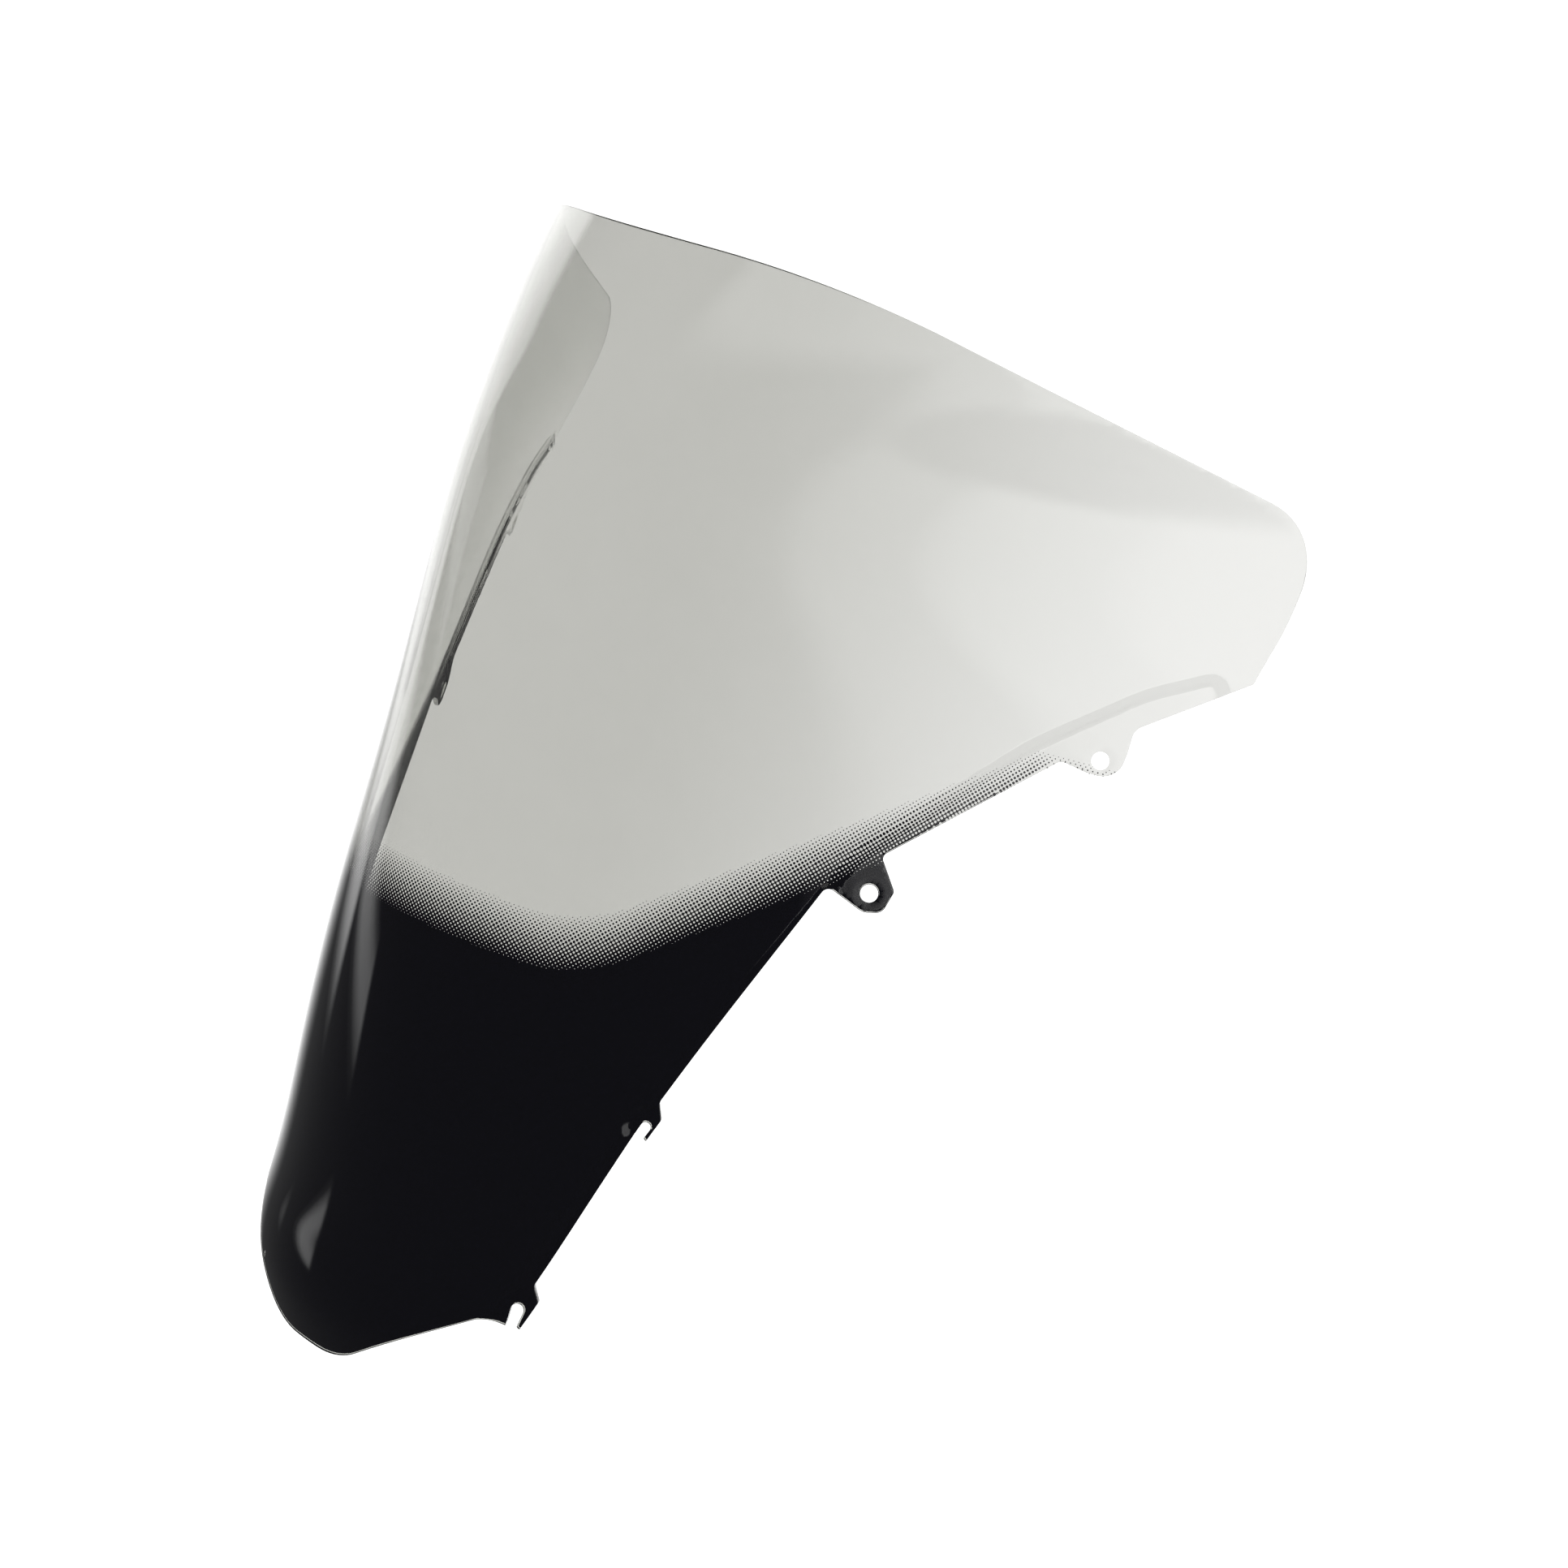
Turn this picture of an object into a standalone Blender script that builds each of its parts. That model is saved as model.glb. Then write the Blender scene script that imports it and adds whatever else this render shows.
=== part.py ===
"""A motorcycle windshield screen: one thermoformed acrylic sheet and the black mask printed inside it.

The sheet is drawn flat, as it is trimmed, and then laid on its formed surface. Across the flat
drawing, `s` runs out from the centre line along the sheet, and `t` runs up the chord from the nose.
The formed surface is a bowed spine that carries a section at each height: a rounded centre that
straightens into two swept wings. Sizes are in millimetres and are scaled to metres at the end.
+Z is up, the outer face looks towards -Y, and X = 0 is the plane of symmetry.
"""

import math

import bmesh
import bpy
import numpy as np
from mathutils import Vector
from mathutils.geometry import delaunay_2d_cdt

MM = 0.001

# Sheet and print
SHEET_THICKNESS = 3.0
PRINT_THICKNESS = 0.2
PRINT_GAP = 0.3  # the print stands this far behind the inner face, so that the two solids never touch

# Overall sizes of the flat sheet
CHORD_HEIGHT = 490.0  # nose to top edge, on the centre line
WING_REACH = 332.0  # centre line to the end of a wing, measured along the sheet
RAKE = math.radians(71.3)  # the chord's slope above the horizontal

# The spine: a place up the chord, as a share of its height, and how far the spine stands out there
BOW = [
    (0.000, 14.0),
    (0.041, 21.5),
    (0.102, 22.0),
    (0.204, 24.0),
    (0.367, 29.0),
    (0.531, 30.0),
    (0.694, 31.5),
    (0.837, 25.0),
    (0.918, 10.5),
    (1.000, -10.5),
]
# The sections: a place up the chord, the wing's slope, the centre's radius, and the wing's curl per mm
SECTIONS = [
    (0.000, 1.26, 108.0, -0.1e-4),
    (0.245, 1.26, 90.0, -2.1e-4),
    (0.490, 1.28, 65.0, -4.2e-4),
    (0.735, 1.32, 50.0, -5.1e-4),
    (0.878, 1.42, 66.0, -2.5e-4),
    (1.000, 1.60, 133.0, 3.0e-4),
]

# Nose
NOSE_FLAT = 22.0  # half-width of the blunt tip
NOSE_RADIUS = 45.0
CHIN = (89.0, 43.8)  # where the nose's edge meets the low hook
CHIN_RADIUS = 12.0

# Open hooks. A shoulder and a notch are (up the slot, outwards from its outer wall),
# both from the centre of its round end.
LOW_HOOK = (102.2, 50.6)
LOW_HOOK_ANGLE = math.radians(90.0)
LOW_SLOT_RADIUS = 3.0
LOW_SLOT_DEPTH = 7.2  # from the centre of the round end to the prong's tip
LOW_PRONG_LEAN = 1.4  # how far the prong's tip leans in over its slot
LOW_HOOK_SHOULDER = (6.2, 4.7)
LOW_HOOK_NOTCH = (12.3, 1.0)
HIGH_HOOK = (137.6, 140.9)
HIGH_HOOK_ANGLE = math.radians(68.3)
HIGH_SLOT_RADIUS = 2.1
HIGH_SLOT_DEPTH = 5.0
HIGH_PRONG_LEAN = 0.3
HIGH_HOOK_SHOULDER = (6.4, 1.5)
HIGH_HOOK_NOTCH = (12.0, -3.3)
PRONG_TIP = 1.6  # width of the prong at its tip
PRONG_BEVEL = 0.8  # how far the tip's inner corner is cut back
TIP_RADIUS = 0.5
SHOULDER_RADIUS = 2.0
NOTCH_RADIUS = 3.0
HOOK_PAD_RADIUS = 5.5

# Fixing holes and their tabs. A tab's corners are (across, up, radius) from its hole's centre.
HOLE_RADIUS = 3.65
TAB_PAD_RADIUS = 7.0  # flat ground round the hole
LOW_HOLE = (200.9, 257.2)
LOW_TAB = [
    (-17.2, -1.4, 3.0),
    (-0.5, -8.1, 7.0),
    (7.1, -6.4, 4.5),
    (9.7, 3.2, 2.5),
    (1.0, 15.9, 2.5),
]
HIGH_HOLE = (55.3, 157.4)  # how far in from the wing's end, and how far below the top
HIGH_TAB = [
    (-15.2, -4.1, 4.0),
    (-4.4, -6.0, 6.0),
    (8.4, -6.3, 9.0),
    (9.8, 6.0, 20.0),
    (9.9, 15.4, 6.0),
]

# Wing's end, as (how far in from the reach, how far below the top, radius), and the top edge
WING_CORNER = (5.2, 112.8, 1.5)
WING_SIDE = (0.0, 88.0, 90.0)
WING_TIP = (0.3, 47.1, 34.0)
TOP_FLAT = 102.0  # half-width of the level stretch of the top edge
TOP_RADIUS = 550.0

# Joggled flange: outside this line the sheet steps back, to lie behind the fairing
FLANGE_STEP = 2.6
FLANGE_RAMP = 6.0
FLANGE_LOW_LINE = [(82.0, 28.0, 0.0), (138.0, 159.4, 300.0), (190.0, 273.0, 40.0)]
# The line's upper corners, as (how far in from the reach, how far below the top, radius)
FLANGE_HIGH_LINE = [(85.0, 156.0, 120.0), (46.3, 124.9, 60.0), (18.0, 109.5, 8.0), (9.0, 124.0, 0.0)]

# Top edge of the solid print, in the middle of its fade
PRINT_TOP = 206.5
PRINT_TOP_RADIUS = 200.0
PRINT_SHOULDER = 92.0  # where the edge turns up towards the wing
PRINT_DIP = 4.5  # how far the shoulder lies below the middle
PRINT_SHOULDER_RADIUS = 70.0
PRINT_RISE = 0.727  # slope of the edge from the shoulder to the wing
PRINT_END = 252.0  # the edge has run off the sheet here, and falls away

# Mesh
ARC_STEP = math.radians(15)
EDGE_STEP = 12.0
HOLE_STEPS = 20
ROW_STEP = 16.0
CENTRE_STEP = 9.0
WING_STEP = 19.0
CENTRE_REACH = 72.0  # half-width of the tighter curve, which takes the closer mesh
CLEARANCE = 5.0  # the open mesh's points keep this far from the edges, the joggle and the pads
PAD_BLEND = 5.0  # the sheet bends from a flat pad to its own curve over this width
ARC_SHARE = 0.98  # the most of one side of the outline that the arcs at its two ends may take
STRAIGHT = 1e-6  # a corner that turns less than this is left alone
MERGE = 1e-5
PROFILE_STEPS = 160
SLOPE_STEP = 0.05  # half the distance over which a slope is measured
CREASE = math.radians(40)  # edges that turn more than this are shaded sharp


def natural_spline(stations, values):
    """The natural cubic spline through the values at the stations, as a function."""
    gap = np.diff(stations)
    climb = np.diff(values) / gap
    size = len(stations)
    matrix = np.eye(size)
    right = np.zeros(size)
    for i in range(1, size - 1):
        matrix[i, i - 1 : i + 2] = gap[i - 1], 2 * (gap[i - 1] + gap[i]), gap[i]
        right[i] = 6 * (climb[i] - climb[i - 1])
    bend = np.linalg.solve(matrix, right)

    def curve(at):
        i = np.clip(np.searchsorted(stations, at) - 1, 0, size - 2)
        past = at - stations[i]
        start = climb[i] - gap[i] * (2 * bend[i] + bend[i + 1]) / 6
        cubic = (bend[i + 1] - bend[i]) / (6 * gap[i])
        return values[i] + past * (start + past * (bend[i] / 2 + past * cubic))

    return curve


def columns(table):
    """A table's columns, with the shares in the first turned into heights up the chord."""
    share, *rest = np.array(table).T
    return share * CHORD_HEIGHT, *rest


bow_stations, bow_values = columns(BOW)
section_stations, slope_values, radius_values, curl_values = columns(SECTIONS)
bow_at = natural_spline(bow_stations, bow_values)
slope_at = natural_spline(section_stations, slope_values)
radius_at = natural_spline(section_stations, radius_values)
curl_at = natural_spline(section_stations, curl_values)


def unroll(s, t):
    """The lateral positions of the sheet's points that lie s along their sections at heights t."""
    x = np.linspace(0, WING_REACH + EDGE_STEP, PROFILE_STEPS)
    slope, radius, curl = (curve(t)[:, None] for curve in (slope_at, radius_at, curl_at))
    lean = slope**2 * x / np.hypot(slope**2 * radius, slope * x) + 2 * curl * x
    stretch = np.hypot(1, lean)
    pieces = (stretch[:, 1:] + stretch[:, :-1]) / 2 * np.diff(x)
    run = np.hstack([np.zeros((len(pieces), 1)), np.cumsum(pieces, axis=1)])
    return np.sign(s) * np.array([np.interp(out, along, x) for out, along in zip(np.abs(s), run)])


def formed(s, t):
    """Points of the smooth outer face, before the flange: lateral, up the chord, and out from it."""
    x = unroll(s, t)
    slope = slope_at(t)
    soft = slope**2 * radius_at(t)
    drop = np.hypot(soft, slope * x) - soft + curl_at(t) * x**2
    return np.column_stack([x, t, bow_at(t) - drop])


def formed_normal(s, t):
    """Unit outward normals of the smooth outer face."""
    across = formed(s + SLOPE_STEP, t) - formed(s - SLOPE_STEP, t)
    up = formed(s, t + SLOPE_STEP) - formed(s, t - SLOPE_STEP)
    normal = np.cross(across, up)
    return normal / np.linalg.norm(normal, axis=1)[:, None]


def ease(share):
    """A smooth rise from 0 to 1 as the share goes from 0 to 1."""
    share = np.clip(share, 0, 1)
    return share**2 * (3 - 2 * share)


def beyond(line, s, t):
    """Signed distance past a line in the flat drawing, positive on its outer side."""
    point = np.column_stack([np.abs(s), t])
    nearest = np.full(len(point), np.inf)
    signed = np.zeros(len(point))
    for start, end in zip(line[:-1], line[1:]):
        way = end - start
        offset = point - start
        share = np.clip(offset @ way / (way @ way), 0, 1)
        gap = np.linalg.norm(offset - share[:, None] * way, axis=1)
        side = np.sign(way[1] * offset[:, 0] - way[0] * offset[:, 1])
        closer = gap < nearest
        nearest[closer] = gap[closer]
        signed[closer] = (side * gap)[closer]
    return signed


def turn_at(before, here, after):
    """How far an outline turns at a corner, and the two directions away from it."""
    back, ahead = before - here, after - here
    back, ahead = back / np.linalg.norm(back), ahead / np.linalg.norm(ahead)
    return math.pi - math.acos(float(np.clip(back @ ahead, -1, 1))), back, ahead


def corner_arc(before, here, after, cut):
    """The points of one corner, turned into an arc that starts and ends a cut's length from it."""
    turn, back, ahead = turn_at(before, here, after)
    if cut == 0 or turn < STRAIGHT:
        return [here]
    radius = cut / math.tan(turn / 2)
    bisector = (back + ahead) / np.linalg.norm(back + ahead)
    middle = here + bisector * radius / math.cos(turn / 2)
    start = here + back * cut - middle
    side = math.copysign(1, back[1] * ahead[0] - back[0] * ahead[1])
    steps = max(2, math.ceil(turn / ARC_STEP), math.ceil(radius * turn / EDGE_STEP))
    arc = []
    for k in range(steps + 1):
        cosine, sine = math.cos(side * turn * k / steps), math.sin(side * turn * k / steps)
        turned = [start[0] * cosine - start[1] * sine, start[0] * sine + start[1] * cosine]
        arc.append(middle + np.array(turned))
    return arc


def stepped(path):
    """The same line with points added along its long straight runs."""
    dense = []
    for start, end in zip(path[:-1], path[1:]):
        steps = max(1, math.ceil(np.linalg.norm(end - start) / EDGE_STEP))
        dense.extend(start + (end - start) * k / steps for k in range(steps))
    return np.array([*dense, path[-1]])


def rounded_loop(corners):
    """A closed outline through (s, t, radius) corners. Arcs that crowd one side share out its length."""
    points = [np.array(corner[:2]) for corner in corners]
    count = len(points)
    wanted = []
    for i, corner in enumerate(corners):
        turn, *_ = turn_at(points[i - 1], points[i], points[(i + 1) % count])
        wanted.append(corner[2] * math.tan(turn / 2))
    path = []
    for i, here in enumerate(points):
        cut = wanted[i]
        for j in (i - 1, (i + 1) % count):
            side = ARC_SHARE * float(np.linalg.norm(points[j] - here))
            if wanted[i] + wanted[j] > side:
                cut = min(cut, side * wanted[i] / (wanted[i] + wanted[j]))
        path.extend(corner_arc(points[i - 1], here, points[(i + 1) % count], cut))
    return stepped([*path, path[0]])[:-1]


def rounded_line(corners):
    """An open line through (s, t, radius) corners."""
    points = [np.array(corner[:2]) for corner in corners]
    path = [points[0]]
    for i in range(1, len(points) - 1):
        turn, *_ = turn_at(points[i - 1], points[i], points[i + 1])
        path.extend(corner_arc(points[i - 1], points[i], points[i + 1], corners[i][2] * math.tan(turn / 2)))
    return stepped([*path, points[-1]])


def circle(centre, radius):
    """A ring of points, drawn so that it mirrors itself across the centre line."""
    angle = np.arange(HOLE_STEPS) * 2 * math.pi / HOLE_STEPS
    return np.column_stack([centre[0] + radius * np.cos(angle), centre[1] + radius * np.sin(angle)])


def on_wing(inward, below):
    """A place on the right wing, from how far it lies in from the reach and below the top."""
    return WING_REACH - inward, CHORD_HEIGHT - below


high_hole = on_wing(*HIGH_HOLE)
holes = [circle((side * s, t), HOLE_RADIUS) for side in (1, -1) for s, t in (LOW_HOLE, high_hole)]
flange_high_line = [(*on_wing(inward, below), radius) for inward, below, radius in FLANGE_HIGH_LINE]
flange_line = rounded_line([*FLANGE_LOW_LINE, *flange_high_line])


def hook_corners(centre, angle, slot_radius, depth, lean, shoulder, notch):
    """Corners of one open hook, from the slot's inner wall round the prong to the edge above it."""
    up = np.array([math.cos(angle), math.sin(angle)])
    out = np.array([math.sin(angle), -math.cos(angle)])
    local = [
        (-depth, -slot_radius, 0.0),
        (slot_radius, -slot_radius, slot_radius),
        (slot_radius, slot_radius, slot_radius),
        (PRONG_BEVEL - depth, slot_radius - lean, TIP_RADIUS),
        (-depth, slot_radius - lean + PRONG_TIP, TIP_RADIUS),
        (shoulder[0], slot_radius + shoulder[1], SHOULDER_RADIUS),
        (notch[0], slot_radius + notch[1], NOTCH_RADIUS),
    ]
    return [(*(np.array(centre) + u * up + v * out), radius) for u, v, radius in local]


def tab_corners(hole, corners):
    """Corners of one fixing tab."""
    return [(hole[0] + across, hole[1] + up, radius) for across, up, radius in corners]


def sheet_outline():
    """The trimmed edge, once round: the right half from the nose up, and its mirror image back down."""
    wing_rows = (WING_CORNER, WING_SIDE, WING_TIP)
    wing_end = [(*on_wing(inward, below), radius) for inward, below, radius in wing_rows]
    low_slot = (LOW_SLOT_RADIUS, LOW_SLOT_DEPTH, LOW_PRONG_LEAN)
    high_slot = (HIGH_SLOT_RADIUS, HIGH_SLOT_DEPTH, HIGH_PRONG_LEAN)
    right = [
        (NOSE_FLAT, 0.0, NOSE_RADIUS),
        (*CHIN, CHIN_RADIUS),
        *hook_corners(LOW_HOOK, LOW_HOOK_ANGLE, *low_slot, LOW_HOOK_SHOULDER, LOW_HOOK_NOTCH),
        *hook_corners(HIGH_HOOK, HIGH_HOOK_ANGLE, *high_slot, HIGH_HOOK_SHOULDER, HIGH_HOOK_NOTCH),
        *tab_corners(LOW_HOLE, LOW_TAB),
        *tab_corners(high_hole, HIGH_TAB),
        *wing_end,
        (TOP_FLAT, CHORD_HEIGHT, TOP_RADIUS),
    ]
    left = [(-s, t, radius) for s, t, radius in reversed(right)]
    return rounded_loop([*right, *left])


def print_edge():
    """The print's top edge, from beyond one wing to beyond the other."""
    shoulder = PRINT_TOP - PRINT_DIP
    end = shoulder + (PRINT_END - PRINT_SHOULDER) * PRINT_RISE
    middle = (0.0, PRINT_TOP, PRINT_TOP_RADIUS)
    right = [
        (PRINT_SHOULDER, shoulder, PRINT_SHOULDER_RADIUS),
        (PRINT_END, end, 0.0),
        (PRINT_END + EDGE_STEP, 0.0, 0.0),
    ]
    left = [(-s, t, radius) for s, t, radius in reversed(right)]
    return rounded_line([*left, middle, *right])


def contains(loop, point):
    """Which points lie inside a closed loop, by counting the edges to their right."""
    inside = np.zeros(len(point), dtype=bool)
    for (s1, t1), (s2, t2) in zip(loop, np.roll(loop, -1, axis=0)):
        if t1 == t2:
            continue
        crosses = (point[:, 1] < t1) != (point[:, 1] < t2)
        inside ^= crosses & (point[:, 0] < s1 + (point[:, 1] - t1) * (s2 - s1) / (t2 - t1))
    return inside


def on_sheet(outline, point):
    """Which points lie on the sheet: inside its outline and outside its holes."""
    inside = contains(outline, point)
    for hole in holes:
        inside &= ~contains(hole, point)
    return inside


def stepped_back(s, t):
    """The outer face with its flange stepped back along the surface's own normal, and that normal."""
    normal = formed_normal(s, t)
    step = FLANGE_STEP * ease(beyond(flange_line, s, t) / FLANGE_RAMP)
    return formed(s, t) - step[:, None] * normal, normal


def find_pads():
    """Place in the flat drawing, radius, centre and normal of each flat pad, on both sides."""
    found = []
    tabs = [(hole, TAB_PAD_RADIUS) for hole in (LOW_HOLE, high_hole)]
    hooks = [(hook, HOOK_PAD_RADIUS) for hook in (LOW_HOOK, HIGH_HOOK)]
    for (s, t), radius in tabs + hooks:
        for side in (1, -1):
            centre, normal = stepped_back(np.array([side * s]), np.array([t]))
            found.append(((side * s, t), radius, centre[0], normal[0]))
    return found


pads = find_pads()


def outer_face(s, t):
    """The finished outer face, flattened at the fixings, and the way through the sheet's thickness."""
    point, normal = stepped_back(s, t)
    for place, radius, centre, pad_normal in pads:
        away = np.hypot(s - place[0], t - place[1])
        hold = (1 - ease((away - radius) / PAD_BLEND))[:, None]
        point = point - hold * ((point - centre) @ pad_normal)[:, None] * pad_normal
        normal = normal + hold * (pad_normal - normal)
    return point, normal / np.linalg.norm(normal, axis=1)[:, None]


def apart(points, others, gap):
    """The points that keep a gap from all the others."""
    away = np.linalg.norm(points[:, None] - others[None], axis=2).min(axis=1)
    return points[away > gap]


def open_points():
    """Staggered rows of points over the whole sheet, closer together where it curves more."""
    centre = np.arange(0, CENTRE_REACH, CENTRE_STEP)
    wing = np.arange(CENTRE_REACH, WING_REACH, WING_STEP)
    whole = np.concatenate([centre, wing])
    halfway = (whole[1:] + whole[:-1]) / 2
    points = []
    for row, t in enumerate(np.arange(ROW_STEP / 2, CHORD_HEIGHT, ROW_STEP)):
        for s in whole if row % 2 else halfway:
            points.extend([(s, t), (-s, t)] if s else [(0.0, t)])
    return np.array(points)


def joggle_points():
    """Three rows of points along the joggle: at its head, in its middle and at its foot."""
    along = np.gradient(flange_line, axis=0)
    across = np.column_stack([along[:, 1], -along[:, 0]]) / np.linalg.norm(along, axis=1)[:, None]
    rows = [flange_line + across * share * FLANGE_RAMP for share in (0.0, 0.5, 1.0)]
    return np.vstack([row * side for row in rows for side in ([1, 1], [-1, 1])])


def trimmed_sheet():
    """Flat triangles over the sheet, and which of them lie under the print."""
    outline, edge = sheet_outline(), print_edge()
    points, edges = [], []
    for loop in (outline, *holes):
        first = len(points)
        points.extend(loop)
        edges.extend((first + i, first + (i + 1) % len(loop)) for i in range(len(loop)))
    edges.extend((len(points) + i, len(points) + i + 1) for i in range(len(edge) - 1))
    points.extend(edge)
    pad_rings = np.vstack([circle(place, radius) for place, radius, *_ in pads])
    rings = apart(pad_rings, np.array(points), CLEARANCE / 2)
    drawn = np.vstack([points, rings])
    joggle = apart(joggle_points(), drawn, CLEARANCE / 2)
    drawn = np.vstack([drawn, joggle])
    inner = np.vstack([rings, joggle, apart(open_points(), drawn, CLEARANCE)])
    points.extend(inner[on_sheet(outline, inner)])

    result = delaunay_2d_cdt([Vector(point) for point in points], edges, [], 0, MERGE)
    flat = np.array([tuple(vertex) for vertex in result[0]])
    faces = np.array(result[2])
    faces = faces[on_sheet(outline, flat[faces].mean(axis=1))]
    middle = flat[faces].mean(axis=1)
    printed = middle[:, 1] < np.interp(middle[:, 0], edge[:, 0], edge[:, 1])
    return flat, faces, printed


def to_world(local):
    """From the chord's frame to the world's: the chord leans back at its rake."""
    lateral = np.array([1, 0, 0])
    chord = np.array([0, math.cos(RAKE), math.sin(RAKE)])
    out = np.array([0, -math.sin(RAKE), math.cos(RAKE)])
    return local @ np.array([lateral, chord, out])


def shell(name, faces, near, far, material):
    """A closed body between two faces that share one flat mesh."""
    used, faces = np.unique(faces, return_inverse=True)
    faces = faces.reshape(-1, 3)
    count = len(used)
    mesh = bmesh.new()
    vertices = [mesh.verts.new(point * MM) for point in np.vstack([near[used], far[used]])]
    for a, b, c in faces:
        mesh.faces.new((vertices[a], vertices[b], vertices[c]))
        mesh.faces.new((vertices[a + count], vertices[c + count], vertices[b + count]))
    sides = {(int(face[i]), int(face[(i + 1) % 3])) for face in faces for i in range(3)}
    for a, b in sorted(side for side in sides if side[::-1] not in sides):
        mesh.faces.new((vertices[b], vertices[a], vertices[a + count], vertices[b + count]))
    bmesh.ops.triangulate(mesh, faces=[face for face in mesh.faces if len(face.verts) > 3])
    bmesh.ops.recalc_face_normals(mesh, faces=mesh.faces)
    data = bpy.data.meshes.new(name)
    mesh.to_mesh(data)
    mesh.free()
    data.shade_smooth()
    data.set_sharp_from_angle(angle=CREASE)
    data.materials.append(material)
    bpy.context.collection.objects.link(bpy.data.objects.new(name, data))


def surface_material(name, colour, roughness, alpha):
    material = bpy.data.materials.new(name)
    material.use_nodes = True
    shader = material.node_tree.nodes["Principled BSDF"]
    shader.inputs["Base Color"].default_value = (*colour, 1.0)
    shader.inputs["Roughness"].default_value = roughness
    shader.inputs["Metallic"].default_value = 0.0
    shader.inputs["Alpha"].default_value = alpha
    return material


def main():
    for thing in list(bpy.data.objects):
        bpy.data.objects.remove(thing, do_unlink=True)

    flat, faces, printed = trimmed_sheet()
    face, normal = outer_face(flat[:, 0], flat[:, 1])
    print_near = SHEET_THICKNESS + PRINT_GAP
    depths = (0.0, SHEET_THICKNESS, print_near, print_near + PRINT_THICKNESS)
    layers = np.array([to_world(face - depth * normal) for depth in depths])

    # The origin is the middle of the underside of the sheet's own box.
    sheet = layers[:2, np.unique(faces)].reshape(-1, 3)
    low, high = sheet.min(axis=0), sheet.max(axis=0)
    layers -= np.array([(low[0] + high[0]) / 2, (low[1] + high[1]) / 2, low[2]])

    acrylic = surface_material("smoke_acrylic", (0.60, 0.60, 0.57), 0.05, 0.4)
    ink = surface_material("black_print", (0.004, 0.004, 0.006), 0.25, 1.0)
    shell("screen_panel", faces, layers[0], layers[1], acrylic)
    shell("printed_mask", faces[printed], layers[2], layers[3], ink)


main()
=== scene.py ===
# %% [markdown]
# # A motorcycle windshield screen
#
# The real object is one sheet of cast acrylic, 3 mm thick. A maker prints it flat, in black, with
# a rim of dots where the print fades out. The printed sheet is heated, draped over a form, and
# trimmed by a router, which leaves tabs with holes and open hooks down each side.
#
# This lesson follows the same order: a flat drawing, a formed surface, the sheet, and the print.

# %% Load the frame
import math

import bmesh
import bpy
import numpy as np
from mathutils import Matrix, Vector
from mathutils.geometry import delaunay_2d_cdt


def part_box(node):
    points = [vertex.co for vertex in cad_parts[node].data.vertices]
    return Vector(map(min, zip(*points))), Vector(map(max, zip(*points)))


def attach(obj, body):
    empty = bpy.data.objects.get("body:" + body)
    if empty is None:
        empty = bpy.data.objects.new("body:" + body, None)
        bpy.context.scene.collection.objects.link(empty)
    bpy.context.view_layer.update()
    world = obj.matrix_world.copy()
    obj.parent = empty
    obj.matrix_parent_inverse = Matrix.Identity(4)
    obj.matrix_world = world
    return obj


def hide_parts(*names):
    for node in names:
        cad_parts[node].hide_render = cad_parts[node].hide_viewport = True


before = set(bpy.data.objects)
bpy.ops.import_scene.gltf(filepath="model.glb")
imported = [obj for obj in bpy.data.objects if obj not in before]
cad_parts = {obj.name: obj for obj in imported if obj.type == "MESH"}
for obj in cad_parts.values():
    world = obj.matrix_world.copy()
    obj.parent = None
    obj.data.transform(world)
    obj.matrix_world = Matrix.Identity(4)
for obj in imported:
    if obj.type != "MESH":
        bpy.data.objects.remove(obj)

MM = 0.001
bpy.context.view_layer.update()
print("CAD nodes:", sorted(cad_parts))

# %% [markdown]
# ## The flat drawing
#
# Every place on the sheet is given twice: by `s`, the distance out from the centre line along the
# sheet, and by `t`, the height up the chord from the nose. A router's path is drawn like this too,
# as corners with a radius each. The left half mirrors the right one.

# %% Corners and arcs
CHORD_HEIGHT = 490.0
WING_REACH = 332.0
ARC_STEP = math.radians(9)
EDGE_STEP = 3.0
ARC_SHARE = 0.98
STRAIGHT = 1e-6


def turn_at(before, here, after):
    """How far a path turns at a corner, and the two directions away from it."""
    back, ahead = before - here, after - here
    back, ahead = back / np.linalg.norm(back), ahead / np.linalg.norm(ahead)
    return math.pi - math.acos(float(np.clip(back @ ahead, -1, 1))), back, ahead


def corner_arc(before, here, after, cut):
    """The points of one rounded corner, whose arc starts and ends a cut's length from it."""
    turn, back, ahead = turn_at(before, here, after)
    if cut == 0 or turn < STRAIGHT:
        return [here]
    radius = cut / math.tan(turn / 2)
    bisector = (back + ahead) / np.linalg.norm(back + ahead)
    middle = here + bisector * radius / math.cos(turn / 2)
    start = here + back * cut - middle
    side = math.copysign(1, back[1] * ahead[0] - back[0] * ahead[1])
    steps = max(3, math.ceil(turn / ARC_STEP), math.ceil(radius * turn / EDGE_STEP))
    arc = []
    for k in range(steps + 1):
        cosine, sine = math.cos(side * turn * k / steps), math.sin(side * turn * k / steps)
        turned = [start[0] * cosine - start[1] * sine, start[0] * sine + start[1] * cosine]
        arc.append(middle + np.array(turned))
    return arc


def stepped(path, step=EDGE_STEP):
    """The same path with points added along its straight runs."""
    dense = []
    for start, end in zip(path[:-1], path[1:]):
        count = max(1, math.ceil(np.linalg.norm(end - start) / step))
        dense.extend(start + (end - start) * k / count for k in range(count))
    return np.array([*dense, path[-1]])


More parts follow.
